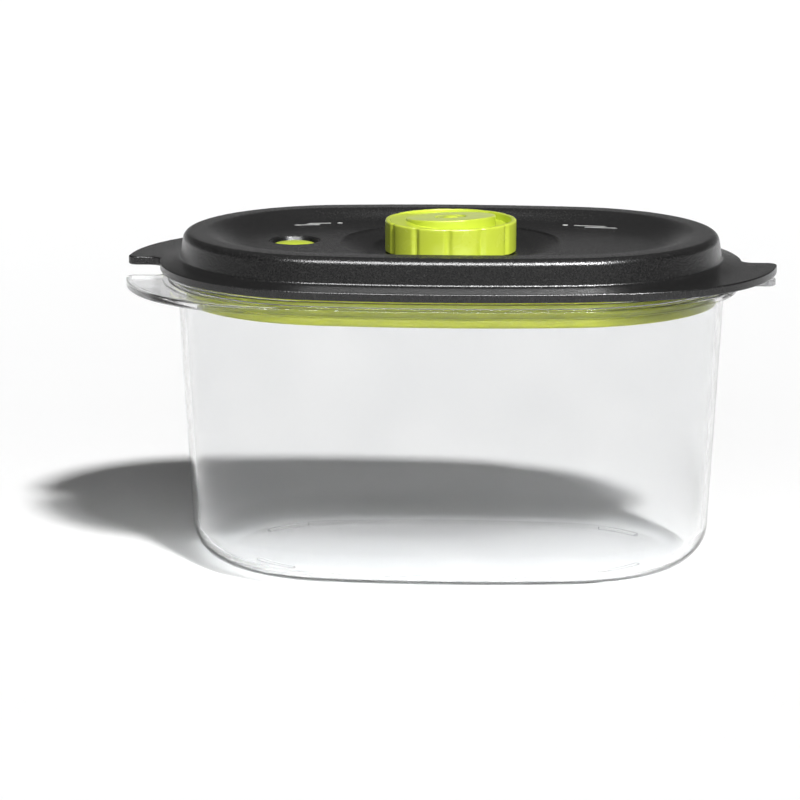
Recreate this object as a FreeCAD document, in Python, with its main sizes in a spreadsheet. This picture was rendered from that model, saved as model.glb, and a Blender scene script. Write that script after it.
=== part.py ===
import FreeCAD, Part
import math
import os
import Sketcher
from FreeCAD import Placement, Rotation, Vector

# Oval vacuum food canister: clear container, black lid with a gasket, green dial valve
# and a green vacuum indicator. Millimetres, +Z up, origin on the table under the middle.

# Driving dimensions, one cell each in the Sizes sheet
SIZES = {
    # outline of the lid's rim seen from above
    "lid_length": 190.0,
    "lid_width": 125.4,
    "side_bow": 2.1,
    # container
    "foot_height": 0.8,
    "foot_width": 1.8,
    "foot_inset": 1.2,
    "foot_start": 40.0,
    "foot_sweep": 26.0,
    "rim_height": 95.85,
    "collar_height": 2.0,
    "collar_inset": 2.8,
    "lip_inset": 0.9,
    "lip_thickness": 2.4,
    "wall_inset": 5.7,
    "wall_lean": 5.0,
    "body_wall": 2.0,
    "floor_thickness": 2.6,
    "base_round": 12.0,
    "rim_round": 0.6,
    "lip_round": 0.5,
    # finger tabs at both ends
    "tab_reach": 11.2,
    "tab_tuck": 2.2,
    "tab_parting": 1.2,
    "tab_corner": 3.0,
    "tab_root": 4.0,
    "tab_blend": 14.0,
    "tab_bead": 1.8,
    "tab_recess": 0.8,
    # lid
    "seat_gap": 1.0,
    "flange_thickness": 2.8,
    "flange_round": 0.5,
    "ledge_inset": 0.5,
    "ledge_rise": 1.1,
    "crown_height": 12.4,
    "crown_foot_inset": 6.5,
    "crown_top_inset": 7.9,
    "crown_round": 2.6,
    "crown_foot_round": 1.0,
    "lid_wall": 2.4,
    "ring_share": 0.565,
    "brow_round": 3.0,
    "brow_slope_side": 2.7,
    "brow_slope_end": 9.0,
    "panel_depth": 3.6,
    "panel_round": 4.0,
    "dish_clearance": 5.6,
    "dish_slope": 9.0,
    "dish_depth": 3.0,
    "dish_round": 1.6,
    "dish_bed_round": 4.8,
    # gasket and the channel that holds it
    "channel_inset": 9.8,
    "channel_width": 1.6,
    "skirt_wall": 2.0,
    "skirt_depth": 9.6,
    "gasket_play": 0.05,
    "gasket_root": 4.0,
    "gasket_flap": 2.0,
    "seat_inset": 0.3,
    "seat_play": 0.1,
    "gasket_lip": 3.0,
    "gasket_fin": 1.2,
    "fin_spacing": 4.2,
    "seal_gap": 0.3,
    # dial and its valve
    "dial_radius": 21.4,
    "dial_height": 10.1,
    "dial_wall": 2.0,
    "dial_top": 5.2,
    "dial_lift": 0.35,
    "dial_round": 0.6,
    "flute_count": 12.0,
    "flute_radius": 1.9,
    "flute_depth": 0.8,
    "flute_stop": 1.1,
    "moat_width": 5.2,
    "moat_depth": 2.6,
    "rim_band": 1.6,
    "thumb_rise": 0.85,
    "thumb_tilt": 4.3,
    "thumb_turn": -60.0,
    "thumb_round": 0.3,
    "hub_radius": 9.0,
    "bore_play": 0.05,
    "boss_wall": 3.0,
    "boss_length": 4.2,
    "hub_bore": 5.1,
    "throat_radius": 4.4,
    "cap_seat_depth": 2.5,
    "cap_play": 0.1,
    "cap_sink": 0.4,
    "cap_dome": 0.9,
    "cap_dome_radius": 2.7,
    "vent_radius": 0.8,
    "vent_inset": 0.4,
    "vent_count": 4.0,
    "web_depth": 7.1,
    "web_thickness": 2.0,
    "web_port_radius": 0.8,
    "web_port_circle": 2.6,
    "web_port_count": 4.0,
    "flap_radius": 3.9,
    "flap_thickness": 1.0,
    "flap_edge": 0.4,
    "flap_arch": 0.2,
    "flap_stem": 1.0,
    "flap_play": 0.05,
    "stem_barb": 1.5,
    "stem_tip": 0.6,
    "stem_tail": 1.4,
    "ring_section": 1.3,
    "ring_drop": 3.4,
    "ring_play": 0.05,
    "ring_room": 0.25,
    "clip_thickness": 0.8,
    "clip_reach": 1.6,
    "clip_grip": 1.2,
    "clip_opening": 70.0,
    "clip_play": 0.1,
    "hub_tail": 1.2,
    "seal_thickness": 1.4,
    "seal_spigot": 2.0,
    "seal_play": 0.05,
    "port_count": 2.0,
    "port_radius": 1.4,
    "port_offset": 2.9,
    "guard_play": 0.1,
    "guard_wall": 1.8,
    "guard_grip": 3.0,
    "guard_round": 0.9,
    # turn stops under the dial
    "dial_turn": 90.0,
    "lug_sweep": 16.0,
    "stop_play": 1.0,
    "stop_clearance": 2.2,
    "stop_width": 2.4,
    "stop_height": 3.6,
    "stop_gap": 0.5,
    # vacuum indicator
    "indicator_shift": 1.5,
    "well_radius": 8.4,
    "well_wall": 2.0,
    "well_length": 7.6,
    "bezel_play": 0.1,
    "bezel_wall": 1.2,
    "bezel_sink": 0.2,
    "bezel_flare": 0.7,
    "bezel_flare_depth": 1.8,
    "bezel_length": 6.6,
    "button_gap": 0.3,
    "button_height": 5.4,
    "button_crown": 1.5,
    "button_round": 1.0,
    "button_sink": 0.3,
    "diaphragm_rim": 1.2,
    "diaphragm_skin": 0.6,
    "diaphragm_pad": 3.0,
    "retainer_thickness": 1.6,
    "retainer_opening": 4.5,
    "stack_play": 0.05,
}

# Lengths that only help a cut or a search: overlap of fused pieces, and closeness of edges
OVERLAP = 0.5
TOUCH = 0.01
ENDS = 2

doc = FreeCAD.newDocument("canister")
sheet = doc.addObject("Spreadsheet::Sheet", "Sizes")
for row, (alias, value) in enumerate(SIZES.items(), start=1):
    sheet.set("A%d" % row, alias)
    sheet.set("B%d" % row, str(value))
    sheet.setAlias("B%d" % row, alias)
doc.recompute()


# A size keeps its number together with the formula that ties it to the sheet
class Size:
    def __init__(self, value, formula):
        self.value = float(value)
        self.formula = formula

    def __add__(self, other):
        return combine(self, "+", other)

    def __radd__(self, other):
        return combine(other, "+", self)

    def __sub__(self, other):
        return combine(self, "-", other)

    def __rsub__(self, other):
        return combine(other, "-", self)

    def __mul__(self, other):
        return combine(self, "*", other)

    def __rmul__(self, other):
        return combine(other, "*", self)

    def __truediv__(self, other):
        return combine(self, "/", other)

    def __neg__(self):
        return combine(0, "-", self)


def as_size(number):
    return number if isinstance(number, Size) else Size(number, repr(float(number)))


def combine(left, sign, right):
    left, right = as_size(left), as_size(right)
    answers = {
        "+": left.value + right.value,
        "-": left.value - right.value,
        "*": left.value * right.value,
        "/": left.value / right.value if sign == "/" else 0.0,
    }
    return Size(answers[sign], "(%s %s %s)" % (left.formula, sign, right.formula))


def size(alias):
    return Size(getattr(sheet, alias), "Sizes." + alias)


def tangent(angle):
    return Size(math.tan(math.radians(angle.value)), "tan(%s)" % angle.formula)


def smaller(left, right):
    formula = "min(%s; %s)" % (left.formula, right.formula)
    return Size(min(left.value, right.value), formula)


def slope_angle(slope):
    return Size(math.degrees(math.atan(slope.value)), "atan(%s)" % slope.formula)


def bind(thing, path, amount):
    thing.setExpression(path, as_size(amount).formula)


# Oval outlines: four tangent arcs, and every offset of the lid's rim keeps the same centres
class Oval:
    def __init__(self, length, width, bow):
        half_length, half_width = length / 2, width / 2
        self.end_radius = half_width - bow
        self.end_centre = half_length - self.end_radius
        reach = self.end_centre * self.end_centre + half_width * half_width
        side_radius = (reach - self.end_radius * self.end_radius) / (bow * 2)
        self.side_centre = side_radius - half_width

    # distance that a point lies inside the outline
    def inset_of(self, x, y):
        centre, side = self.end_centre.value, self.side_centre.value
        x, y = abs(x), abs(y)
        if (x - centre) * side > y * centre:
            return self.end_radius.value - math.hypot(x - centre, y)
        side_radius = math.hypot(centre, side) + self.end_radius.value
        return side_radius - math.hypot(x, y + side)


rim = Oval(size("lid_length"), size("lid_width"), size("side_bow"))

# On the lid's top the dish takes the room that the dial needs, and the ring and panel share the rest
dish_floor_radius = size("dial_radius") + size("dish_clearance")
dish_radius = dish_floor_radius + size("dish_slope")
top_room = size("lid_width") / 2 - size("crown_top_inset") - size("brow_slope_side") - dish_radius
ring_width = top_room * size("ring_share")
brow_inset = size("crown_top_inset") + ring_width
panel_length = size("lid_length") - (brow_inset + size("brow_slope_end")) * 2
panel_width = size("lid_width") - (brow_inset + size("brow_slope_side")) * 2
panel = Oval(panel_length, panel_width, size("side_bow"))
indicator_place = -(dish_radius + panel_length / 2) / 2 + size("indicator_shift")

# Heights of the main levels
base_level = size("foot_height")
rim_top = size("rim_height")
lip_top = rim_top - size("collar_height")
lip_bottom = lip_top - size("lip_thickness")
flange_bottom = rim_top + size("seat_gap")
flange_top = flange_bottom + size("flange_thickness")
skirt_bottom = flange_bottom - size("skirt_depth")
crown_top = flange_bottom + size("crown_height")
panel_top = crown_top - size("panel_depth")
panel_bottom = panel_top - size("lid_wall")
dish_floor = panel_top - size("dish_depth")
dish_bottom = dish_floor - size("lid_wall")
boss_bottom = dish_bottom - size("boss_length")
dial_bottom = dish_floor + size("dial_lift")
dial_rim = dial_bottom + size("dial_height")
dial_ceiling = dial_rim - size("dial_top")
web_top = dial_rim - size("web_depth")
web_bottom = web_top - size("web_thickness")
cap_seat = dial_rim - size("cap_seat_depth")
ring_level = dish_floor - size("ring_drop")
clip_top = boss_bottom - size("clip_play")
clip_bottom = clip_top - size("clip_thickness")
hub_bottom = clip_bottom - size("hub_tail")
seal_bottom = hub_bottom - size("seal_thickness")
guard_floor = seal_bottom - size("seal_gap")
bore_radius = size("hub_radius") + size("bore_play")
boss_radius = bore_radius + size("boss_wall")
skirt_inset = size("channel_inset") + size("channel_width")
hollow_inset = skirt_inset + size("skirt_wall")
thumb_radius = size("dial_radius") - size("rim_band") - size("moat_width")
stop_outer = size("dial_radius") - size("dial_wall") - size("stop_clearance")
stop_inner = stop_outer - size("stop_width")
bezel_radius = size("well_radius") - size("bezel_play")
bezel_top = panel_top - size("bezel_sink")
bezel_bottom = bezel_top - size("bezel_length")
button_radius = bezel_radius - size("bezel_wall") - size("button_gap")
button_top = panel_top - size("button_sink")
button_bottom = button_top - size("button_height")
diaphragm_bottom = bezel_bottom - size("stack_play") - size("diaphragm_rim")
retainer_top = diaphragm_bottom - size("stack_play")


# Small modelling helpers
def new_body(label):
    made = doc.addObject("PartDesign::Body", label)
    made.Label = label
    return made


def origin_part(owner, role):
    return next(item for item in owner.Origin.OriginFeatures if item.Role == role)


def flat_sketch(owner, name, level):
    made = owner.newObject("Sketcher::SketchObject", name)
    made.AttachmentSupport = [(origin_part(owner, "XY_Plane"), "")]
    made.MapMode = "FlatFace"
    bind(made, "AttachmentOffset.Base.z", level)
    return made


# A sketch plane tipped about a level line, for the sloping faces of the dial
def tipped_sketch(owner, name, level, turn, tilt):
    made = flat_sketch(owner, name, level)
    heading = math.radians(turn.value)
    axis = Vector(math.sin(heading), -math.cos(heading), 0)
    made.AttachmentOffset = Placement(Vector(0, 0, level.value), Rotation(axis, tilt.value))
    bind(made, "AttachmentOffset.Base.z", level)
    bind(made, "AttachmentOffset.Rotation.Angle", tilt)
    return made


# A half section beside the Z axis, turned to an azimuth and moved along X
def half_section(owner, name, corners, azimuth=None, centre=None):
    made = owner.newObject("Sketcher::SketchObject", name)
    made.AttachmentSupport = [(origin_part(owner, "XZ_Plane"), "")]
    made.MapMode = "FlatFace"
    if azimuth is not None:
        made.AttachmentOffset = Placement(Vector(), Rotation(Vector(0, 1, 0), azimuth.value))
        bind(made, "AttachmentOffset.Rotation.Angle", azimuth)
    if centre is not None:
        bind(made, "AttachmentOffset.Base.x", centre)
    polygon(made, corners)
    return made


def tie(sketch, constraint, amount):
    index = sketch.addConstraint(constraint)
    bind(sketch, "Constraints[%d]" % index, amount)


# Anticlockwise corners (x, y), or (x, y, radius) where the next side bulges out as an arc
def polygon(sketch, corners):
    corners = [[as_size(number) for number in corner] for corner in corners]
    points = [Vector(corner[0].value, corner[1].value, 0) for corner in corners]
    sides = []
    for corner, start, end in zip(corners, points, points[1:] + points[:1]):
        straight = Part.LineSegment(start, end)
        shape = bulge(start, end, corner[2].value) if len(corner) > 2 else straight
        sides.append(sketch.addGeometry(shape))
    for side, following in zip(sides, sides[1:] + sides[:1]):
        sketch.addConstraint(Sketcher.Constraint("Coincident", side, 2, following, 1))
    for side, (x, y, *radius) in zip(sides, corners):
        tie(sketch, Sketcher.Constraint("DistanceX", -1, 1, side, 1, x.value), x)
        tie(sketch, Sketcher.Constraint("DistanceY", -1, 1, side, 1, y.value), y)
        for amount in radius:
            tie(sketch, Sketcher.Constraint("Radius", side, amount.value), amount)


def bulge(start, end, radius):
    chord = end - start
    inward = Vector(-chord.y, chord.x, 0).normalize()
    centre = (start + end) * 0.5 + inward * math.sqrt(radius * radius - chord.Length ** 2 / 4)
    ring = Part.Circle(centre, Vector(0, 0, 1), radius)
    from_angle, to_angle = (math.atan2(tip.y - centre.y, tip.x - centre.x) for tip in (start, end))
    return Part.ArcOfCircle(ring, from_angle, to_angle)


# Radius of the ball whose cap has this base radius and rise
def cap_ball(radius, rise):
    return (radius * radius + rise * rise) / (rise * 2)


def circle(sketch, radius, x=0, y=0):
    radius, x, y = as_size(radius), as_size(x), as_size(y)
    shape = Part.Circle(Vector(x.value, y.value, 0), Vector(0, 0, 1), radius.value)
    ring = sketch.addGeometry(shape)
    tie(sketch, Sketcher.Constraint("Radius", ring, radius.value), radius)
    tie(sketch, Sketcher.Constraint("DistanceX", -1, 1, ring, 3, x.value), x)
    tie(sketch, Sketcher.Constraint("DistanceY", -1, 1, ring, 3, y.value), y)


def oval(sketch, plan, inset):
    end_radius = plan.end_radius - inset
    reach, depth, radius = plan.end_centre.value, plan.side_centre.value, end_radius.value
    split = math.atan2(depth, reach)
    side_radius = math.hypot(reach, depth) + radius

    def arc(x, y, size_of_arc, start, end):
        ring = Part.Circle(Vector(x, y, 0), Vector(0, 0, 1), size_of_arc)
        return sketch.addGeometry(Part.ArcOfCircle(ring, start, end))

    right = arc(reach, 0, radius, -split, split)
    back = arc(0, -depth, side_radius, split, math.pi - split)
    left = arc(-reach, 0, radius, math.pi - split, math.pi + split)
    front = arc(0, depth, side_radius, math.pi + split, 2 * math.pi - split)
    for constraint in (
        Sketcher.Constraint("PointOnObject", right, 3, -1),
        Sketcher.Constraint("Symmetric", right, 2, left, 1, -2),
        Sketcher.Constraint("Symmetric", right, 1, left, 2, -2),
        Sketcher.Constraint("Equal", right, left),
        Sketcher.Constraint("Tangent", right, 2, back, 1),
        Sketcher.Constraint("Coincident", back, 2, left, 1),
        Sketcher.Constraint("Tangent", front, 2, right, 1),
        Sketcher.Constraint("Coincident", left, 2, front, 1),
    ):
        sketch.addConstraint(constraint)
    tie(sketch, Sketcher.Constraint("DistanceX", -1, 1, right, 3, reach), plan.end_centre)
    tie(sketch, Sketcher.Constraint("Radius", right, radius), end_radius)
    tie(sketch, Sketcher.Constraint("DistanceY", -1, 1, back, 3, -depth), -plan.side_centre)
    tie(sketch, Sketcher.Constraint("DistanceY", -1, 1, front, 3, depth), plan.side_centre)


def oval_sketch(owner, name, level, *insets, plan=rim):
    made = flat_sketch(owner, name, level)
    for inset in insets:
        oval(made, plan, inset)
    return made


def feature(owner, kind, name, profile):
    made = owner.newObject("PartDesign::" + kind, name)
    made.Profile = profile
    return made


def pad(owner, name, profile, length):
    made = feature(owner, "Pad", name, profile)
    bind(made, "Length", length)
    return made


# A pocket sinks below its sketch, or rises above it when upward is set
def pocket(owner, name, profile, length, upward=False):
    made = feature(owner, "Pocket", name, profile)
    made.Reversed = upward
    bind(made, "Length", length)
    return made


def loft(owner, kind, name, profile, section):
    made = feature(owner, kind, name, profile)
    made.Sections = [section]
    made.Ruled = True
    return made


def turned(owner, kind, name, profile, sweep=None):
    made = feature(owner, kind, name, profile)
    made.ReferenceAxis = (profile, ["V_Axis"])
    made.Angle = 360.0
    if sweep is not None:
        bind(made, "Angle", sweep)
    return made


def polar(owner, name, original, count):
    made = owner.newObject("PartDesign::PolarPattern", name)
    made.Originals = [original]
    made.Axis = (origin_part(owner, "Z_Axis"), [""])
    made.Angle = 360.0
    made.Occurrences = int(as_size(count).value)
    bind(made, "Occurrences", count)
    owner.Tip = made
    return made


# Edges of a solid that lie level at a height and pass a test on their middle point
def level_edges(solid, level, test):
    names = []
    for index, edge in enumerate(solid.Shape.Edges, start=1):
        box = edge.BoundBox
        if box.ZLength > TOUCH or abs(box.ZMin - level.value) > TOUCH:
            continue
        middle = edge.valueAt((edge.FirstParameter + edge.LastParameter) / 2)
        if test(middle.x, middle.y):
            names.append("Edge%d" % index)
    return names


def on_oval(plan, inset):
    return lambda x, y: abs(plan.inset_of(x, y) - as_size(inset).value) < TOUCH


def on_circle(radius):
    return lambda x, y: abs(math.hypot(x, y) - as_size(radius).value) < TOUCH


def rounded(owner, name, solid, names, radius):
    made = owner.newObject("PartDesign::Fillet", name)
    made.Base = (solid, names)
    bind(made, "Radius", radius)
    return made


def round_level(owner, name, level, test, radius):
    doc.recompute()
    solid = owner.Tip
    return rounded(owner, name, solid, level_edges(solid, level, test), radius)


# A finger tab is a quarter disc reaching past the lid's end; hand tells front from back
tab_tip = size("lid_length") / 2 + size("tab_reach")
tab_radius = rim.end_radius - size("tab_tuck")
tab_centre = tab_tip - tab_radius


# The outline closes inside the oval, on a line across its end's centre or an arc round that centre
def tab_outline(sketch, hand, inset, root_radius=None):
    radius = tab_radius - inset
    edge = (size("tab_parting") / 2 + inset) * hand
    heart, reach = tab_centre.value, rim.end_centre.value
    swing = math.asin(abs(edge.value) / radius.value)
    end = Vector(heart + radius.value * math.cos(swing), edge.value, 0)
    ring = Part.Circle(Vector(heart, 0, 0), Vector(0, 0, 1), radius.value)
    if root_radius is None:
        start_x, top_x = reach, reach
    else:
        root, step = root_radius.value, heart - reach
        start_x = reach + math.sqrt(root * root - edge.value * edge.value)
        top_x = reach + (root * root - radius.value * radius.value + step * step) / (2 * step)
    rise = math.sqrt(radius.value * radius.value - (top_x - heart) ** 2)
    start, top = Vector(start_x, edge.value, 0), Vector(top_x, hand * rise, 0)
    last = math.atan2(rise, top_x - heart)
    spans = (swing, last) if hand > 0 else (-last, -swing)
    near, far = (1, 2) if hand > 0 else (2, 1)
    line = sketch.addGeometry(Part.LineSegment(start, end))
    curve = sketch.addGeometry(Part.ArcOfCircle(ring, *spans))
    sketch.addConstraint(Sketcher.Constraint("Coincident", line, 2, curve, near))
    sketch.addConstraint(Sketcher.Constraint("Horizontal", line))
    sketch.addConstraint(Sketcher.Constraint("PointOnObject", curve, 3, -1))
    tie(sketch, Sketcher.Constraint("DistanceX", -1, 1, curve, 3, heart), tab_centre)
    tie(sketch, Sketcher.Constraint("Radius", curve, radius.value), radius)
    tie(sketch, Sketcher.Constraint("DistanceY", -1, 1, line, 1, edge.value), edge)
    if root_radius is None:
        back = sketch.addGeometry(Part.LineSegment(top, start))
        sketch.addConstraint(Sketcher.Constraint("Coincident", curve, far, back, 1))
        sketch.addConstraint(Sketcher.Constraint("Coincident", back, 2, line, 1))
        sketch.addConstraint(Sketcher.Constraint("Vertical", back))
        tie(sketch, Sketcher.Constraint("DistanceX", -1, 1, line, 1, reach), rim.end_centre)
        return
    ring = Part.Circle(Vector(reach, 0, 0), Vector(0, 0, 1), root)
    low, high = sorted(math.atan2(point.y, point.x - reach) for point in (start, top))
    back = sketch.addGeometry(Part.ArcOfCircle(ring, low, high))
    sketch.addConstraint(Sketcher.Constraint("Coincident", curve, far, back, far))
    sketch.addConstraint(Sketcher.Constraint("Coincident", back, near, line, 1))
    sketch.addConstraint(Sketcher.Constraint("PointOnObject", back, 3, -1))
    tie(sketch, Sketcher.Constraint("DistanceX", -1, 1, back, 3, reach), rim.end_centre)
    tie(sketch, Sketcher.Constraint("Radius", back, root), root_radius)


# Tabs on a plate whose outline lies at an inset, with their corners and the plate's edges rounded
def add_tabs(owner, hand, level, thickness, inset, edge_round):
    outline = flat_sketch(owner, "tab_outline", level)
    tab_outline(outline, hand, as_size(0))
    tab = pad(owner, "tab", outline, thickness)
    polar(owner, "tab_pair", tab, ENDS)
    on_plate = on_oval(rim, inset)
    half_gap = size("tab_parting").value / 2 + TOUCH
    inner_reach = tab_tip.value - size("tab_corner").value
    corners = {
        "tab_corner": lambda x, y: abs(x) > inner_reach,
        "tab_root": lambda x, y: on_plate(x, y) and abs(y) < half_gap,
        "tab_blend": lambda x, y: on_plate(x, y) and on_tab(x, y),
    }
    for name, test in corners.items():
        doc.recompute()
        solid = owner.Tip
        names = upright_edges(solid, thickness, test)
        rounded(owner, name + "s", solid, names, size(name))
    border = (size("wall_inset").value + inset.value) / 2
    for name, height in (("lower_edge", level), ("upper_edge", level + thickness)):
        round_level(owner, name, height, lambda x, y: rim.inset_of(x, y) < border, edge_round)


def on_tab(x, y):
    return abs(math.hypot(abs(x) - tab_centre.value, y) - tab_radius.value) < TOUCH


def upright_edges(solid, length, test):
    names = []
    for index, edge in enumerate(solid.Shape.Edges, start=1):
        box = edge.BoundBox
        upright = abs(box.ZLength - length.value) < TOUCH and box.DiagonalLength - box.ZLength < TOUCH
        if upright and test(box.Center.x, box.Center.y):
            names.append("Edge%d" % index)
    return names


# Clear container
def container_body():
    owner = new_body("container_body")
    base_inset = size("wall_inset") + size("wall_lean")
    foot_line = oval_sketch(owner, "wall_foot", base_level, base_inset)
    head_line = oval_sketch(owner, "wall_head", lip_bottom, size("wall_inset"))
    loft(owner, "AdditiveLoft", "wall", foot_line, head_line)

    # lip with finger tabs, whose raised border runs round a shallow recess
    lip = oval_sketch(owner, "lip_outline", lip_bottom, size("lip_inset"))
    pad(owner, "lip", lip, size("lip_thickness"))
    add_tabs(owner, 1, lip_bottom, size("lip_thickness"), size("lip_inset"), size("lip_round"))
    recess = flat_sketch(owner, "tab_recess_outline", lip_top)
    tab_outline(recess, 1, size("tab_bead"), rim.end_radius - size("lip_inset"))
    sunk = pocket(owner, "tab_recess", recess, size("tab_recess"))
    polar(owner, "tab_recess_pair", sunk, ENDS)
    collar = oval_sketch(owner, "collar_outline", lip_bottom, size("collar_inset"))
    pad(owner, "collar", collar, rim_top - lip_bottom)

    # inside: leaning cavity below, straight collar above, and the shoulder between them
    floor_level = base_level + size("floor_thickness")
    share = size("floor_thickness") / (lip_bottom - base_level)
    floor_inset = base_inset + size("body_wall") - size("wall_lean") * share
    rise = size("lip_thickness") / (lip_bottom - base_level)
    mouth_inset = size("wall_inset") + size("body_wall") - size("wall_lean") * rise
    floor_line = oval_sketch(owner, "cavity_floor", floor_level, floor_inset)
    mouth_line = oval_sketch(owner, "cavity_mouth", lip_top, mouth_inset)
    loft(owner, "SubtractiveLoft", "cavity", floor_line, mouth_line)
    collar_inset = size("collar_inset") + size("body_wall")
    collar_inside = oval_sketch(owner, "collar_inside", rim_top, collar_inset)
    pocket(owner, "collar_mouth", collar_inside, size("collar_height"))
    inner_round = size("base_round") - size("body_wall")
    round_level(owner, "floor_edge", floor_level, on_oval(rim, floor_inset), inner_round)
    round_level(owner, "base_edge", base_level, on_oval(rim, base_inset), size("base_round"))
    round_level(owner, "rim_edge", rim_top, lambda x, y: True, size("rim_round"))

    # four short curved feet under the ends of the base
    outer = rim.end_radius - base_inset - size("base_round") - size("foot_inset")
    inner = outer - size("foot_width")
    top = base_level + OVERLAP
    section = [(inner, 0), (outer, 0), (outer, top), (inner, top)]
    start, sweep = size("foot_start"), size("foot_sweep")
    straight = as_size(180)
    places = {
        "right_back": (rim.end_centre, start),
        "right_front": (rim.end_centre, -start - sweep),
        "left_back": (-rim.end_centre, straight - start - sweep),
        "left_front": (-rim.end_centre, straight + start),
    }
    for place, (centre, azimuth) in places.items():
        profile = half_section(owner, "foot_section_" + place, section, azimuth, centre)
        turned(owner, "Revolution", "foot_" + place, profile, sweep)
    return owner


# Black lid
def lid_shell():
    owner = new_body("lid_shell")
    flange = oval_sketch(owner, "flange_outline", flange_bottom, as_size(0))
    pad(owner, "flange", flange, size("flange_thickness"))
    add_tabs(owner, -1, flange_bottom, size("flange_thickness"), as_size(0), size("flange_round"))
    ledge_edge = oval_sketch(owner, "ledge_edge", flange_top, size("ledge_inset"))
    ledge_top = flange_top + size("ledge_rise")
    ledge_line = oval_sketch(owner, "ledge_line", ledge_top, size("crown_foot_inset"))
    loft(owner, "AdditiveLoft", "ledge", ledge_edge, ledge_line)
    crown_foot = oval_sketch(owner, "crown_foot", ledge_top, size("crown_foot_inset"))
    crown_head = oval_sketch(owner, "crown_head", crown_top, size("crown_top_inset"))
    loft(owner, "AdditiveLoft", "crown", crown_foot, crown_head)
    foot_line = on_oval(rim, size("crown_foot_inset"))
    round_level(owner, "crown_foot_edge", ledge_top, foot_line, size("crown_foot_round"))
    crown_line = on_oval(rim, size("crown_top_inset"))
    round_level(owner, "crown_edge", crown_top, crown_line, size("crown_round"))

    # underside: hollow crown, and a skirt that stands beside the gasket channel
    skirt = oval_sketch(owner, "skirt_outline", skirt_bottom, skirt_inset)
    pad(owner, "skirt", skirt, size("skirt_depth") + OVERLAP)
    ceiling = crown_top - size("lid_wall")
    hollow = oval_sketch(owner, "hollow_outline", skirt_bottom, hollow_inset)
    pocket(owner, "hollow", hollow, ceiling - skirt_bottom, upward=True)
    channel = oval_sketch(owner, "channel_line", flange_bottom, size("channel_inset"), skirt_inset)
    pocket(owner, "channel", channel, ceiling - flange_bottom, upward=True)

    # sunken panel with a soft brow, carried as a pan inside the crown
    shell = size("lid_wall")
    pan_top = oval_sketch(owner, "pan_top", ceiling + OVERLAP, brow_inset - shell)
    pan_floor = oval_sketch(owner, "pan_floor", panel_bottom, -shell / 2, plan=panel)
    loft(owner, "AdditiveLoft", "pan", pan_top, pan_floor)
    brow = oval_sketch(owner, "brow_line", crown_top, brow_inset)
    bed = oval_sketch(owner, "panel_line", panel_top, as_size(0), plan=panel)
    loft(owner, "SubtractiveLoft", "recess", brow, bed)
    brow_line = on_oval(rim, brow_inset)
    brow_round = smaller(size("brow_round"), (ring_width - size("crown_round")) * 2)
    round_level(owner, "brow_edge", crown_top, brow_line, brow_round)
    round_level(owner, "panel_edge", panel_top, on_oval(panel, 0), size("panel_round"))

    # round dish for the dial, with a boss below for its hub
    under_dish = [
        (0, panel_bottom + OVERLAP),
        (dish_radius + shell, panel_bottom + OVERLAP),
        (dish_floor_radius + shell / 2, dish_bottom),
        (boss_radius, dish_bottom),
        (boss_radius, boss_bottom),
        (0, boss_bottom),
    ]
    turned(owner, "Revolution", "under_dish", half_section(owner, "under_dish_section", under_dish))
    dish = [
        (0, panel_top),
        (dish_radius, panel_top),
        (dish_floor_radius, dish_floor),
        (0, dish_floor),
    ]
    turned(owner, "Groove", "dish", half_section(owner, "dish_section", dish))
    dish_line, bed_line = on_circle(dish_radius), on_circle(dish_floor_radius)
    round_level(owner, "dish_edge", panel_top, dish_line, size("dish_round"))
    round_level(owner, "dish_bed", dish_floor, bed_line, size("dish_bed_round"))
    bore = flat_sketch(owner, "bore_outline", dish_floor)
    circle(bore, bore_radius)
    pocket(owner, "bore", bore, dish_floor - boss_bottom + OVERLAP)

    # stop rib that limits the dial's turn
    low, high = dish_floor - OVERLAP, dish_floor + size("stop_height")
    free = size("dial_turn") + size("lug_sweep") + size("stop_play") * 2
    start = 90 + size("lug_sweep") / 2 + size("stop_play")
    section = [(stop_inner, low), (stop_outer, low), (stop_outer, high), (stop_inner, high)]
    rib = half_section(owner, "stop_section", section, start)
    turned(owner, "Revolution", "stop_rib", rib, 360 - free)

    # well for the vacuum indicator
    sleeve = flat_sketch(owner, "well_sleeve", panel_bottom + OVERLAP)
    circle(sleeve, size("well_radius") + size("well_wall"), indicator_place)
    well_sleeve = pad(owner, "well_wall", sleeve, size("well_length") + OVERLAP)
    well_sleeve.Reversed = True
    well = flat_sketch(owner, "well_outline", panel_top)
    circle(well, size("well_radius"), indicator_place)
    pocket(owner, "well", well, panel_top - panel_bottom + size("well_length") + OVERLAP)
    return owner


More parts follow.
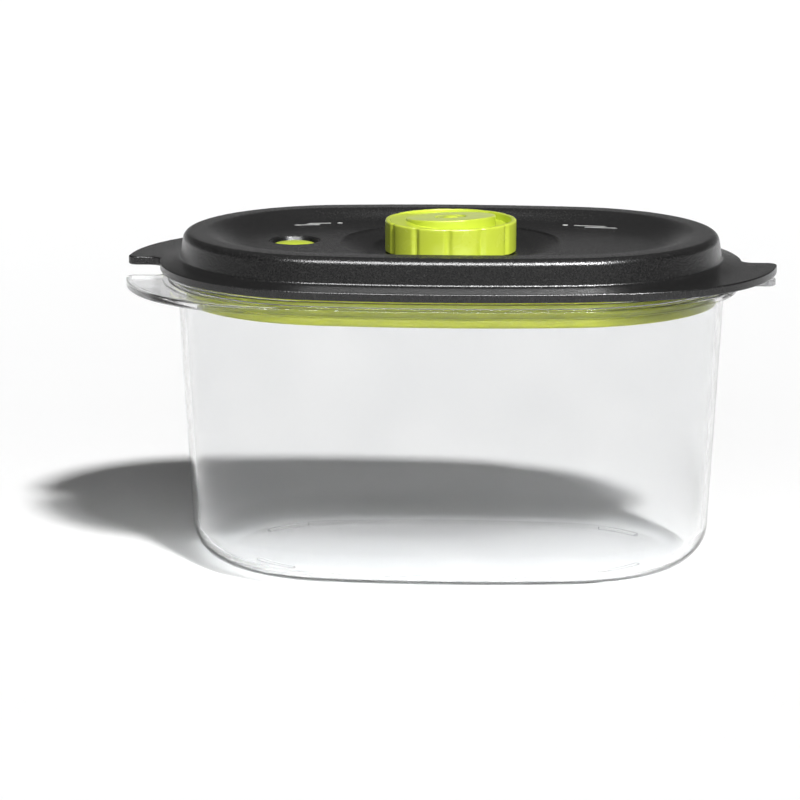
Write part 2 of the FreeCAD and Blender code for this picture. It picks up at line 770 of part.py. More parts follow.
# Green gasket: a root in the lid's channel, a seat on the rim, a flap inside it,
# and a lip and a fin against the wall
def lid_gasket():
    owner = new_body("lid_gasket")
    play = size("gasket_play")
    inner, outer = skirt_inset - play, size("channel_inset") + play
    foot = skirt_bottom
    band = oval_sketch(owner, "band_outline", foot, outer, inner)
    pad(owner, "band", band, size("skirt_depth") + size("gasket_root"))
    flap_inset = size("collar_inset") + size("body_wall") + size("seal_gap")
    flap = oval_sketch(owner, "flap_outline", flange_bottom - play, flap_inset, inner)
    pad(owner, "flap", flap, size("gasket_flap")).Reversed = True
    seat_edge = size("collar_inset") + size("seat_inset")
    seat = oval_sketch(owner, "seat_outline", flange_bottom - play, seat_edge, inner)
    pad(owner, "seat", seat, size("seat_gap") - play - size("seat_play")).Reversed = True
    lean = size("wall_lean") * (lip_bottom - foot) / (lip_bottom - base_level)
    fin_inset = size("wall_inset") + size("body_wall") + lean + size("seal_gap")
    wall_lip = oval_sketch(owner, "lip_outline", foot, fin_inset, inner)
    pad(owner, "wall_lip", wall_lip, size("gasket_lip"))
    fin = oval_sketch(owner, "fin_outline", foot + size("fin_spacing"), fin_inset, inner)
    pad(owner, "fin", fin, size("gasket_fin"))
    return owner


# Green dial: fluted cap, tilted thumb pad, and the hub that turns in the lid's boss
def dial_knob():
    owner = new_body("dial_knob")
    radius = size("dial_radius")
    section = [
        (0, hub_bottom),
        (size("hub_radius"), hub_bottom),
        (size("hub_radius"), dial_ceiling),
        (radius - size("dial_wall"), dial_ceiling),
        (radius - size("dial_wall"), dial_bottom),
        (radius, dial_bottom),
        (radius, dial_rim),
        (0, dial_rim),
    ]
    turned(owner, "Revolution", "cap", half_section(owner, "cap_section", section))
    round_level(owner, "cap_edge", dial_rim, on_circle(radius), size("dial_round"))

    # moat that deepens to the right of the thumb pad
    moat_outer = radius - size("rim_band")
    slope = size("moat_depth") / (moat_outer * 2)
    middle = dial_rim - size("moat_depth") / 2
    moat = tipped_sketch(owner, "moat_outline", middle, as_size(180), slope_angle(slope))
    circle(moat, moat_outer)
    pocket(owner, "moat", moat, size("dial_top"), upward=True)

    # thumb pad with a sloping top
    pad_outline = flat_sketch(owner, "thumb_outline", dial_ceiling)
    circle(pad_outline, thumb_radius)
    height = size("dial_top") + size("thumb_rise") + thumb_radius * tangent(size("thumb_tilt"))
    pad(owner, "thumb_pad", pad_outline, height)
    level = dial_rim + size("thumb_rise")
    top = tipped_sketch(owner, "thumb_top", level, size("thumb_turn"), size("thumb_tilt"))
    circle(top, thumb_radius + OVERLAP)
    pocket(owner, "thumb_slope", top, height, upward=True)
    doc.recompute()
    solid = owner.Tip
    at_side = on_circle(thumb_radius)
    names = []
    for index, edge in enumerate(solid.Shape.Edges, start=1):
        point, box = edge.valueAt(edge.FirstParameter), edge.BoundBox
        sloping = TOUCH < box.ZLength < height.value / 2
        if sloping and box.Center.z > dial_rim.value and at_side(point.x, point.y):
            names.append("Edge%d" % index)
    rounded(owner, "thumb_edge", solid, names, size("thumb_round"))

    # air way down the middle: cap seat, throat, valve web and hub bore
    seat = flat_sketch(owner, "cap_seat", cap_seat)
    circle(seat, size("hub_bore"))
    pocket(owner, "cap_bore", seat, height, upward=True)
    throat = flat_sketch(owner, "throat", web_top)
    circle(throat, size("throat_radius"))
    pocket(owner, "throat_bore", throat, cap_seat - web_top + OVERLAP, upward=True)
    bore = flat_sketch(owner, "hub_bore_outline", hub_bottom)
    circle(bore, size("hub_bore"))
    pocket(owner, "hub_bore", bore, web_bottom - hub_bottom, upward=True)
    stem_hole = flat_sketch(owner, "stem_hole_outline", web_top)
    circle(stem_hole, size("flap_stem") + size("flap_play"))
    pocket(owner, "stem_hole", stem_hole, size("web_thickness") + OVERLAP)
    port = flat_sketch(owner, "web_port_outline", web_top)
    circle(port, size("web_port_radius"), size("web_port_circle"))
    ports = pocket(owner, "web_port", port, size("web_thickness") + OVERLAP)
    polar(owner, "web_ports", ports, size("web_port_count"))

    # grooves in the hub for the sealing ring and the clip
    reach = size("hub_radius") + OVERLAP
    ring_root = bore_radius - size("ring_section") - size("ring_play") * 2
    ring_half = size("ring_section") / 2 + size("ring_room")
    clip_root = size("hub_radius") - size("clip_grip")
    grooves = {
        "ring_groove": (ring_root, ring_level - ring_half, ring_level + ring_half),
        "clip_groove": (clip_root, clip_bottom - size("clip_play"), clip_top + size("clip_play")),
    }
    for name, (root, low, high) in grooves.items():
        section = [(root, low), (reach, low), (reach, high), (root, high)]
        turned(owner, "Groove", name, half_section(owner, name + "_section", section))

    # lug that meets the lid's stop rib
    low = dish_floor + size("stop_gap")
    top = dial_ceiling + OVERLAP
    section = [(stop_inner, low), (stop_outer, low), (stop_outer, top), (stop_inner, top)]
    lug = half_section(owner, "lug_section", section, 90 - size("lug_sweep") / 2)
    turned(owner, "Revolution", "stop_lug", lug, size("lug_sweep"))

    # finger flutes round the skirt
    flute_centre = radius + size("flute_radius") - size("flute_depth")
    flute = flat_sketch(owner, "flute_outline", dial_bottom)
    circle(flute, size("flute_radius"), 0, -flute_centre)
    cut = pocket(owner, "flute", flute, size("dial_height") - size("flute_stop"), upward=True)
    polar(owner, "flutes", cut, size("flute_count"))
    return owner


# Domed cap over the air way, with four vents at its edge
def port_cap():
    owner = new_body("port_cap")
    radius = size("hub_bore") - size("cap_play")
    face = dial_rim + size("thumb_rise") - size("cap_sink")
    dome, rise = size("cap_dome_radius"), size("cap_dome")
    section = [
        (0, cap_seat),
        (radius, cap_seat),
        (radius, face),
        (dome, face, cap_ball(dome, rise)),
        (0, face + rise),
    ]
    turned(owner, "Revolution", "cap", half_section(owner, "cap_section", section))
    vent = flat_sketch(owner, "vent_outline", cap_seat)
    circle(vent, size("vent_radius"), radius - size("vent_inset"))
    cut = pocket(owner, "vent", vent, face - cap_seat + OVERLAP, upward=True)
    polar(owner, "vents", cut, size("vent_count"))
    return owner


# Umbrella flap that lets air out and not back in
def umbrella_valve():
    owner = new_body("umbrella_valve")
    under = web_bottom - size("flap_play")
    over = web_top + size("flap_play")
    tip = under - size("stem_tail")
    stem, flap = size("flap_stem"), size("flap_radius")
    rim_edge = over + size("flap_edge")
    section = [
        (0, tip),
        (size("stem_tip"), tip),
        (size("stem_barb"), under),
        (stem, under),
        (stem, over + size("flap_arch")),
        (flap, over),
        (flap, rim_edge, cap_ball(flap, size("flap_thickness"))),
        (0, rim_edge + size("flap_thickness")),
    ]
    turned(owner, "Revolution", "flap", half_section(owner, "flap_section", section))
    return owner


# Sealing ring between hub and boss
def hub_ring():
    made = doc.addObject("Part::Torus", "hub_ring")
    made.Label = "hub_ring"
    bind(made, "Radius1", bore_radius - size("ring_section") / 2 - size("ring_play"))
    bind(made, "Radius2", size("ring_section") / 2)
    bind(made, "Placement.Base.z", ring_level)
    return made


# Open spring clip that keeps the hub in the boss
def hub_clip():
    owner = new_body("hub_clip")
    inner = size("hub_radius") - size("clip_grip") + size("clip_play")
    outer = size("hub_radius") + size("clip_reach")
    section = [(inner, clip_bottom), (outer, clip_bottom), (outer, clip_top), (inner, clip_top)]
    profile = half_section(owner, "clip_section", section, size("clip_opening") / 2)
    turned(owner, "Revolution", "clip", profile, 360 - size("clip_opening"))
    return owner


# Soft disc that turns with the hub and opens or covers the guard's ports
def face_seal():
    owner = new_body("face_seal")
    spigot = size("hub_bore") - size("seal_play")
    edge = size("hub_radius") - size("seal_play")
    top = hub_bottom - size("seal_play")
    section = [
        (0, seal_bottom),
        (edge, seal_bottom),
        (edge, top),
        (spigot, top),
        (spigot, top + size("seal_spigot")),
        (0, top + size("seal_spigot")),
    ]
    turned(owner, "Revolution", "disc", half_section(owner, "disc_section", section))
    port = flat_sketch(owner, "port_outline", seal_bottom)
    circle(port, size("port_radius"), size("port_offset"))
    depth = size("seal_thickness") + size("seal_spigot")
    cut = pocket(owner, "port", port, depth + OVERLAP, upward=True)
    polar(owner, "ports", cut, size("port_count"))
    return owner


# Cup under the boss that carries the fixed ports and keeps food off the valve
def valve_guard():
    owner = new_body("valve_guard")
    inner = boss_radius + size("guard_play")
    outer = inner + size("guard_wall")
    top = boss_bottom + size("guard_grip")
    bottom = guard_floor - size("guard_wall")
    section = [
        (0, bottom),
        (outer, bottom),
        (outer, top),
        (inner, top),
        (inner, guard_floor),
        (0, guard_floor),
    ]
    turned(owner, "Revolution", "cup", half_section(owner, "cup_section", section))
    round_level(owner, "cup_edge", bottom, on_circle(outer), size("guard_round"))
    port = flat_sketch(owner, "port_outline", guard_floor)
    circle(port, size("port_radius"), 0, size("port_offset"))
    cut = pocket(owner, "port", port, size("guard_wall") + OVERLAP)
    polar(owner, "ports", cut, size("port_count"))
    return owner


# The indicator's pieces share one axis, left of the dial
def at_indicator(owner):
    bind(owner, "Placement.Base.x", indicator_place)
    return owner


# Glossy black sleeve in the lid's well
def indicator_bezel():
    owner = new_body("indicator_bezel")
    inner = bezel_radius - size("bezel_wall")
    section = [
        (inner, bezel_bottom),
        (bezel_radius, bezel_bottom),
        (bezel_radius, bezel_top),
        (inner + size("bezel_flare"), bezel_top),
        (inner, bezel_top - size("bezel_flare_depth")),
    ]
    turned(owner, "Revolution", "sleeve", half_section(owner, "sleeve_section", section))
    return at_indicator(owner)


# Green button that sinks when the container holds a vacuum
def indicator_button():
    owner = new_body("indicator_button")
    shoulder = button_top - size("button_crown")
    section = [
        (0, button_bottom),
        (button_radius, button_bottom),
        (button_radius, shoulder, cap_ball(button_radius, size("button_crown"))),
        (0, button_top),
    ]
    turned(owner, "Revolution", "button", half_section(owner, "button_section", section))
    round_level(owner, "button_edge", shoulder, on_circle(button_radius), size("button_round"))
    return at_indicator(owner)


# Soft diaphragm that pulls the button down
def indicator_diaphragm():
    owner = new_body("indicator_diaphragm")
    rim_top_level = diaphragm_bottom + size("diaphragm_rim")
    clamp = bezel_radius - size("bezel_wall")
    skin_top = diaphragm_bottom + size("diaphragm_skin")
    section = [
        (0, diaphragm_bottom),
        (bezel_radius, diaphragm_bottom),
        (bezel_radius, rim_top_level),
        (clamp, rim_top_level),
        (clamp - size("diaphragm_skin"), skin_top),
        (size("diaphragm_pad") + size("diaphragm_skin"), skin_top),
        (size("diaphragm_pad"), button_bottom - size("stack_play")),
        (0, button_bottom - size("stack_play")),
    ]
    turned(owner, "Revolution", "diaphragm", half_section(owner, "diaphragm_section", section))
    return at_indicator(owner)


# Ring that holds the indicator's stack from below
def indicator_retainer():
    owner = new_body("indicator_retainer")
    bottom = retainer_top - size("retainer_thickness")
    inner = size("retainer_opening")
    section = [
        (inner, bottom),
        (bezel_radius, bottom),
        (bezel_radius, retainer_top),
        (inner, retainer_top),
    ]
    turned(owner, "Revolution", "ring", half_section(owner, "ring_section", section))
    return at_indicator(owner)


pieces = [
    container_body(),
    lid_shell(),
    lid_gasket(),
    dial_knob(),
    port_cap(),
    umbrella_valve(),
    hub_ring(),
    hub_clip(),
    face_seal(),
    valve_guard(),
    indicator_bezel(),
    indicator_button(),
    indicator_diaphragm(),
    indicator_retainer(),
]
doc.recompute()

failed = [item.Label for item in doc.Objects if {"Invalid", "Error"} & set(item.State)]
if failed:
    raise RuntimeError("failed: " + ", ".join(failed))
for piece in pieces:
    shape = piece.Shape
    if shape.isNull() or not shape.isValid() or len(shape.Solids) != 1:
        raise RuntimeError("%s is not one sound solid" % piece.Label)

os.makedirs("parts", exist_ok=True)
for piece in pieces:
    piece.Shape.exportStep("parts/%s.step" % piece.Label)
    print("%-22s %9.1f mm3" % (piece.Label, piece.Shape.Volume))
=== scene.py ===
from math import asin, atan2, cos, pi, radians, sin, sqrt, tan

import bmesh
import bpy
from mathutils import Matrix, Vector


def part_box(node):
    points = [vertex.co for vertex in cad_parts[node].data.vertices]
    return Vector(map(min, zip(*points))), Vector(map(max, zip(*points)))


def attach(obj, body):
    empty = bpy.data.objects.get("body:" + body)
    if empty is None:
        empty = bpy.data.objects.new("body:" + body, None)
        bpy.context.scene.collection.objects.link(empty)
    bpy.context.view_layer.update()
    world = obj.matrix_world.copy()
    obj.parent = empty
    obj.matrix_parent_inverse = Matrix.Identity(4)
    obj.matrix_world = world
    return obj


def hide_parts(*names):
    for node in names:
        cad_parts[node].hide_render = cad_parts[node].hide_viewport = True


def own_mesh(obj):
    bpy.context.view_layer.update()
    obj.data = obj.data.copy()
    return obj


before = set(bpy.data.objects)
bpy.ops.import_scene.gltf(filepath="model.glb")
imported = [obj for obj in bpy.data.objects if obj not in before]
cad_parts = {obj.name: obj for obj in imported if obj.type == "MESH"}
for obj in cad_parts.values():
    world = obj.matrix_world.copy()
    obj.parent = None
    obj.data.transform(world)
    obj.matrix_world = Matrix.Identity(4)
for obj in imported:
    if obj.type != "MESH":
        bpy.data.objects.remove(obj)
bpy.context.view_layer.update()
mm = 0.001  # sizes below are in millimetres, the scene is in metres
print("frame loaded with", len(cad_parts), "nodes")


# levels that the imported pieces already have, in millimetres
def levels(node):  # lowest and highest
    low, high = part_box(node)
    return low.z / mm, high.z / mm


# plan of the lid's rim: four tangent arcs, and every inset keeps their centres
rimPlan = {"halfLength": 95.0, "halfWidth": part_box("lid_shell")[1].y / mm, "bow": 2.1}
panelPlan = {"halfLength": 69.0, "halfWidth": 43.0, "bow": 2.1}
tabPlan = {"reach": 11.2, "tuck": 2.2, "parting": 1.2, "corner": 3.0, "leastCorner": 0.4, "root": 4.0, "blend": 14.0}
ringSteps = {"side": 20, "end": 40, "root": 6, "edge": 4, "corner": 6, "tab": 26, "blend": 4, "rest": 6}
tabSteps = sum(ringSteps[part] for part in ("root", "edge", "corner", "tab", "blend"))


def solveOval(plan):
    plan["endRadius"] = plan["halfWidth"] - plan["bow"]
    plan["endCentre"] = plan["halfLength"] - plan["endRadius"]
    spread = plan["endCentre"] ** 2 + plan["halfWidth"] ** 2 - plan["endRadius"] ** 2
    plan["sideRadius"] = spread / (2 * plan["bow"])
    plan["sideCentre"] = plan["sideRadius"] - plan["halfWidth"]
    plan["split"] = atan2(plan["sideCentre"], plan["endCentre"])


for plan in (rimPlan, panelPlan):
    solveOval(plan)


def arc(x, y, radius, start, end, steps):  # points of an arc, without its last one
    angles = [start + (end - start) * step / steps for step in range(steps)]
    return [(x + radius * cos(angle), y + radius * sin(angle)) for angle in angles]


def bothEnds(half):  # the plan is the same again after half a turn
    return half + [(-x, -y) for x, y in half]


def tabCentre():
    tip = rimPlan["halfLength"] + tabPlan["reach"]
    return tip - (rimPlan["endRadius"] - tabPlan["tuck"])


def solveTab(inset, plate):  # where the tab's arcs meet at this inset of a plate
    end, centre, heart = rimPlan["endRadius"] - inset, rimPlan["endCentre"], tabCentre()
    own = inset - plate
    made = {"end": end, "radius": rimPlan["endRadius"] - tabPlan["tuck"] - own}
    made["edge"] = -(tabPlan["parting"] / 2 + own)
    made["root"] = tabPlan["root"] + own
    made["corner"] = max(tabPlan["corner"] - own, tabPlan["leastCorner"])
    made["blend"] = tabPlan["blend"] + own
    made["rootAngle"] = asin((made["edge"] + made["root"]) / (end + made["root"]))
    made["rootX"] = centre + (end + made["root"]) * cos(made["rootAngle"])
    made["cornerY"] = made["edge"] - made["corner"]
    made["cornerX"] = heart + sqrt((made["radius"] - made["corner"]) ** 2 - made["cornerY"] ** 2)
    made["cornerAngle"] = atan2(made["cornerY"], made["cornerX"] - heart)
    outer, inner, step = end + made["blend"], made["radius"] + made["blend"], heart - centre
    along = (outer ** 2 - inner ** 2 + step ** 2) / (2 * step)
    made["blendX"], made["blendY"] = centre + along, -sqrt(outer ** 2 - along ** 2)
    made["tabEnd"] = atan2(made["blendY"], made["blendX"] - heart)
    made["restStart"] = atan2(made["blendY"], along)
    return made


def sides(plan, inset):
    radius, split = plan["sideRadius"] - inset, plan["split"]
    back = arc(0, -plan["sideCentre"], radius, pi / 2, split, ringSteps["side"])
    front = arc(0, plan["sideCentre"], radius, -split, -pi / 2, ringSteps["side"])
    return back, front


def ovalRing(plan, inset):
    back, front = sides(plan, inset)
    centre, radius, split = plan["endCentre"], plan["endRadius"] - inset, plan["split"]
    made = solveTab(0, 0)
    half = back + arc(centre, 0, radius, split, made["rootAngle"], ringSteps["end"])
    half += arc(centre, 0, radius, made["rootAngle"], made["restStart"], tabSteps)
    half += arc(centre, 0, radius, made["restStart"], -split, ringSteps["rest"])
    return bothEnds(half + front)


def tabRing(inset, plate):  # the oval with a finger tab at each end
    back, front = sides(rimPlan, inset)
    made, heart = solveTab(inset, plate), tabCentre()
    centre, split = rimPlan["endCentre"], rimPlan["split"]
    half = back + arc(centre, 0, made["end"], split, made["rootAngle"], ringSteps["end"])
    rootY = made["edge"] + made["root"]
    half += arc(made["rootX"], rootY, made["root"], pi + made["rootAngle"], 1.5 * pi, ringSteps["root"])
    span = (made["cornerX"] - made["rootX"]) / ringSteps["edge"]
    half += [(made["rootX"] + span * step, made["edge"]) for step in range(ringSteps["edge"])]
    half += arc(made["cornerX"], made["cornerY"], made["corner"], pi / 2, made["cornerAngle"], ringSteps["corner"])
    half += arc(heart, 0, made["radius"], made["cornerAngle"], made["tabEnd"], ringSteps["tab"])
    half += arc(made["blendX"], made["blendY"], made["blend"], pi + made["tabEnd"],
                pi + made["restStart"], ringSteps["blend"])
    half += arc(centre, 0, made["end"], made["restStart"], -split, ringSteps["rest"])
    return bothEnds(half + front)


def circleRing(radius, count, x=0.0):
    return arc(x, 0, radius, 0, 2 * pi, count)


def roundCorners(corners, closed=False, steps=4):  # (a, z, radius, kind) corners, rounded into rows
    rows, count = [], len(corners)
    for place, (a, z, radius, *kind) in enumerate(corners):
        if radius == 0 or (not closed and place in (0, count - 1)):
            rows.append((a, z, *kind))
            continue
        here = Vector((a, z))
        before = (Vector(corners[place - 1][:2]) - here).normalized()
        after = (Vector(corners[(place + 1) % count][:2]) - here).normalized()
        turn = pi - before.angle(after)
        start = here + before * radius * tan(turn / 2)
        centre = here + (before + after).normalized() * radius / cos(turn / 2)
        side = 1 if before.y * after.x - before.x * after.y > 0 else -1
        for step in range(steps + 1):
            spoke = Matrix.Rotation(side * turn * step / steps, 2) @ (start - centre)
            rows.append((*(centre + spoke), *kind))
    return rows


# rings of a piece: the first is a circle set on its outline, the next ones are extruded from it
def atLevel(points, z):
    return [Vector((x, y, z)) * mm for x, y in points]


def firstRing(bm, places):
    ring = bmesh.ops.create_circle(bm, segments=len(places), radius=1)["verts"]
    for vert, place in zip(ring, places):
        vert.co = place
    return ring


def ringEdges(bm, ring):
    return [bm.edges.get(pair) for pair in zip(ring, ring[1:] + ring[:1])]


def nextRing(bm, ring, places):
    made = bmesh.ops.extrude_edge_only(bm, edges=ringEdges(bm, ring))["geom"]
    fresh = {item for item in made if isinstance(item, bmesh.types.BMVert)}
    ends = [next(e.other_vert(v) for e in v.link_edges if e.other_vert(v) in fresh) for v in ring]
    for vert, place in zip(ends, places):
        vert.co = place
    return ends


def ringChain(bm, rings):
    made = [firstRing(bm, rings[0])]
    for places in rings[1:]:
        made.append(nextRing(bm, made[-1], places))
    return made


def fillFlat(bm, *rings):  # a flat face inside the first ring, with the others as holes
    edges = [edge for ring in rings for edge in ringEdges(bm, ring)]
    return bmesh.ops.triangle_fill(bm, use_beauty=True, use_dissolve=False, edges=edges)


def joinRings(bm, first, second):
    bmesh.ops.bridge_loops(bm, edges=ringEdges(bm, first) + ringEdges(bm, second))


meshing = {"weld": 1e-6, "sliver": 1e-7, "sharp": 40, "blockSteps": 24, "turnSteps": 72}


def arcBlock(bm, inner, outer, low, high, start, sweep):  # a curved rib about the dial's axis
    corners = [(inner, low), (outer, low), (outer, high), (inner, high)]
    verts = [bm.verts.new(Vector((r * cos(start), r * sin(start), z)) * mm) for r, z in corners]
    face = bm.faces.new(verts)
    bmesh.ops.spin(bm, geom=[face, *face.edges, *verts], axis=(0, 0, 1), cent=(0, 0, 0), angle=sweep,
                   steps=meshing["blockSteps"], use_merge=False)


# an outline turned about an upright axis
def spun(profile, x=0.0, sweep=2 * pi, start=0.0, steps=meshing["turnSteps"]):
    bm = bmesh.new()
    verts = [bm.verts.new(Vector((r * cos(start), r * sin(start), z)) * mm) for r, z in profile]
    pairs = zip(verts, verts[1:] + verts[:1])
    edges = [bm.edges.new(pair) for pair in pairs if any(vert.co.xy.length for vert in pair)]  # none on the axis
    whole = sweep == 2 * pi
    bmesh.ops.spin(bm, geom=verts + edges, axis=(0, 0, 1), cent=(0, 0, 0), angle=sweep, steps=steps,
                   use_merge=whole)
    if not whole:
        bmesh.ops.holes_fill(bm, edges=[e for e in bm.edges if e.is_boundary], sides=0)
    bmesh.ops.translate(bm, verts=bm.verts, vec=(x * mm, 0, 0))
    return bm


def finishPiece(bm, name, body, node, material, sharpAngle=meshing["sharp"]):
    bmesh.ops.remove_doubles(bm, verts=bm.verts, dist=meshing["weld"])
    bmesh.ops.dissolve_degenerate(bm, edges=bm.edges, dist=meshing["sliver"])
    bmesh.ops.recalc_face_normals(bm, faces=bm.faces)
    for face in bm.faces:
        face.smooth = True
    for edge in bm.edges:
        edge.smooth = len(edge.link_faces) == 2 and edge.calc_face_angle() < radians(sharpAngle)
    openEdges = sum(1 for edge in bm.edges if len(edge.link_faces) != 2)
    mesh = bpy.data.meshes.new(name)
    bm.to_mesh(mesh)
    bm.free()
    piece = bpy.data.objects.new(name, mesh)
    bpy.context.collection.objects.link(piece)
    mesh.materials.append(material)
    even = piece.modifiers.new("evenNormals", "WEIGHTED_NORMAL")
    even.keep_sharp = True
    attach(piece, body)
    if node:
        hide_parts(node)
    print(name, len(mesh.polygons), "faces", openEdges, "open edges")
    return piece


# finishes
noiseSpan = (0.3, 0.7)  # where most of a noise's values lie


def newFinish(name):
    finish = bpy.data.materials.new(name)
    finish.use_nodes = True
    nodes = finish.node_tree.nodes
    return finish, nodes, finish.node_tree.links, nodes["Principled BSDF"]


def objectNoise(nodes, links, scale, detail=2.0, fineness=0.5):
    place = nodes.new("ShaderNodeTexCoord")
    noise = nodes.new("ShaderNodeTexNoise")
    noise.inputs["Scale"].default_value = scale
    noise.inputs["Detail"].default_value = detail
    noise.inputs["Roughness"].default_value = fineness
    links.new(place.outputs["Object"], noise.inputs["Vector"])
    return noise.outputs["Fac"]


def blendColours(nodes, links, factor, colours, target, span=noiseSpan):
    ramp = nodes.new("ShaderNodeValToRGB")
    for stop, place, colour in zip(ramp.color_ramp.elements, span, colours):
        stop.position, stop.color = place, (*colour, 1)
    links.new(factor, ramp.inputs["Fac"])
    links.new(ramp.outputs["Color"], target)


def spreadValue(nodes, links, factor, limits, target):
    spread = mapRange(nodes, (*noiseSpan, *limits))
    links.new(factor, spread.inputs["Value"])
    links.new(spread.outputs["Result"], target)


def mottle(nodes, links, shader, factor, look, span=noiseSpan):  # colour and roughness that drift with a noise
    blendColours(nodes, links, factor, look["colours"], shader.inputs["Base Color"], span)
    spreadValue(nodes, links, factor, look["roughness"], shader.inputs["Roughness"])


def mapRange(nodes, limits):
    spread = nodes.new("ShaderNodeMapRange")
    for socket, value in zip(("From Min", "From Max", "To Min", "To Max"), limits):
        spread.inputs[socket].default_value = value
    return spread


def grainBump(nodes, links, factor, strength, depth, target):
    bump = nodes.new("ShaderNodeBump")
    bump.inputs["Strength"].default_value = strength
    bump.inputs["Distance"].default_value = depth * mm
    links.new(factor, bump.inputs["Height"])
    links.new(bump.outputs["Normal"], target)


# finishes whose colour, roughness and grain follow one noise; a bump is a strength and a depth
softGrain = {"perMetre": 260, "bump": (0.1, 0.03)}
plainLooks = {
    "grainedBlack": {"colours": ((0.006, 0.006, 0.0063), (0.024, 0.0235, 0.023)), "span": (0.40, 0.70),
                     "roughness": (0.27, 0.22), "perMetre": 1700, "fineness": 0.65, "bump": (1.0, 0.09),
                     "shine": 0.45},
    "glossBlack": {"colours": ((0.006, 0.006, 0.0062), (0.010, 0.010, 0.0105)), "roughness": (0.26, 0.34),
                   "perMetre": 400},
    "limePlastic": {"colours": ((0.585, 0.70, 0.050), (0.63, 0.74, 0.07)), "roughness": (0.20, 0.28),
                    "perMetre": 90, "detail": 3.0},
    "paleSilicone": {"colours": ((0.66, 0.68, 0.66), (0.74, 0.75, 0.73)), "roughness": (0.4, 0.55), **softGrain},
    "blackRubber": {"colours": ((0.014, 0.014, 0.014), (0.024, 0.024, 0.024)), "roughness": (0.5, 0.65), **softGrain},
    "whitePrint": {"colours": ((0.62, 0.62, 0.61), (0.74, 0.74, 0.73)), "roughness": (0.5, 0.6), **softGrain},
    "springSteel": {"colours": ((0.52, 0.52, 0.53), (0.64, 0.64, 0.65)), "roughness": (0.22, 0.36), "metal": 1.0,
                    **softGrain},
}


def makePlain(name):
    look = plainLooks[name]
    finish, nodes, links, shader = newFinish(name)
    noise = objectNoise(nodes, links, look["perMetre"], look.get("detail", 2.0), look.get("fineness", 0.5))
    mottle(nodes, links, shader, noise, look, look.get("span", noiseSpan))
    if "bump" in look:
        grainBump(nodes, links, noise, *look["bump"], shader.inputs["Normal"])
    shader.inputs["Specular IOR Level"].default_value = look.get("shine", 0.5)
    shader.inputs["Metallic"].default_value = look.get("metal", 0.0)
    return finish


siliconeLook = {"colours": ((0.48, 0.53, 0.008), (0.55, 0.60, 0.014)), "roughness": (0.38, 0.5),
                "flowPerMetre": 140, "finePerMetre": 2200, "fineDetail": 1.0, "fineStrength": 0.15, "fineDepth": 0.02}


def makeLimeSilicone():
    look = siliconeLook
    finish, nodes, links, shader = newFinish("limeSilicone")
    flow = objectNoise(nodes, links, look["flowPerMetre"])
    fine = objectNoise(nodes, links, look["finePerMetre"], look["fineDetail"])
    mottle(nodes, links, shader, flow, look)
    grainBump(nodes, links, fine, look["fineStrength"], look["fineDepth"], shader.inputs["Normal"])
    return finish


clearLook = {"colours": ((0.90, 0.905, 0.91), (0.93, 0.933, 0.935)), "roughness": (0.01, 0.035), "index": 1.33,
             "flowPerMetre": 35, "hazePerMetre": 220, "passes": (0.48, 0.485, 0.485),
             "clarity": 0.985, "tabClarity": 0.84, "tabFrom": 93.0, "tabTo": 97.0}


def makeClearPlastic():
    look = clearLook
    finish, nodes, links, shader = newFinish("clearCopolyester")
    flow = objectNoise(nodes, links, look["flowPerMetre"])
    haze = objectNoise(nodes, links, look["hazePerMetre"])
    blendColours(nodes, links, flow, look["colours"], shader.inputs["Base Color"])
    spreadValue(nodes, links, haze, look["roughness"], shader.inputs["Roughness"])
    place = nodes.new("ShaderNodeTexCoord")  # the finger tabs are milkier than the walls
    parts = nodes.new("ShaderNodeSeparateXYZ")
    along = nodes.new("ShaderNodeMath")
    along.operation = "ABSOLUTE"
    links.new(place.outputs["Object"], parts.inputs["Vector"])
    links.new(parts.outputs["X"], along.inputs[0])
    milky = mapRange(nodes, (look["tabFrom"] * mm, look["tabTo"] * mm, look["clarity"], look["tabClarity"]))
    links.new(along.outputs["Value"], milky.inputs["Value"])
    links.new(milky.outputs["Result"], shader.inputs["Transmission Weight"])
    shader.inputs["IOR"].default_value = look["index"]
    path = nodes.new("ShaderNodeLightPath")  # lets lamp light through the clear walls
    passing = nodes.new("ShaderNodeBsdfTransparent")
    passing.inputs["Color"].default_value = (*look["passes"], 1)
    mixed = nodes.new("ShaderNodeMixShader")
    links.new(path.outputs["Is Shadow Ray"], mixed.inputs["Fac"])
    links.new(shader.outputs["BSDF"], mixed.inputs[1])
    links.new(passing.outputs["BSDF"], mixed.inputs[2])
    links.new(mixed.outputs["Shader"], nodes["Material Output"].inputs["Surface"])
    return finish


grainedBlack = makePlain("grainedBlack")
glossBlack = makePlain("glossBlack")
limePlastic = makePlain("limePlastic")
limeSilicone = makeLimeSilicone()
clearPlastic = makeClearPlastic()
paleSilicone = makePlain("paleSilicone")
blackRubber = makePlain("blackRubber")
whitePrint = makePlain("whitePrint")
springSteel = makePlain("springSteel")
print("finishes made")


# container: one clear shell, from the base up the outside, over the rim and down inside
container = {"wallInset": 5.7, "lean": 5.0, "wall": 2.0, "floor": 2.6, "baseRound": 12.0, "lipInset": 0.9,
             "lipThickness": 2.4, "lipRound": 0.5, "collarInset": 2.8, "collarHeight": 2.0, "rimRound": 0.6,
             "wallRound": 0.6, "collarFoot": 0.4, "seatRound": 0.5, "mouthRound": 0.8, "flat": 40.0,
             "beadWidth": 1.8, "recess": 0.8, "plainReach": 0.25, "roundSteps": 6,
             "footHeight": 0.8, "footInner": 25.7, "footOuter": 23.9, "footStart": 40.0, "footSweep": 26.0}


def containerRing(row):
    inset, z, kind = row
    if kind == "oval":
        return atLevel(ovalRing(rimPlan, inset), z)
    return atLevel(tabRing(inset, container["lipInset"]), z)


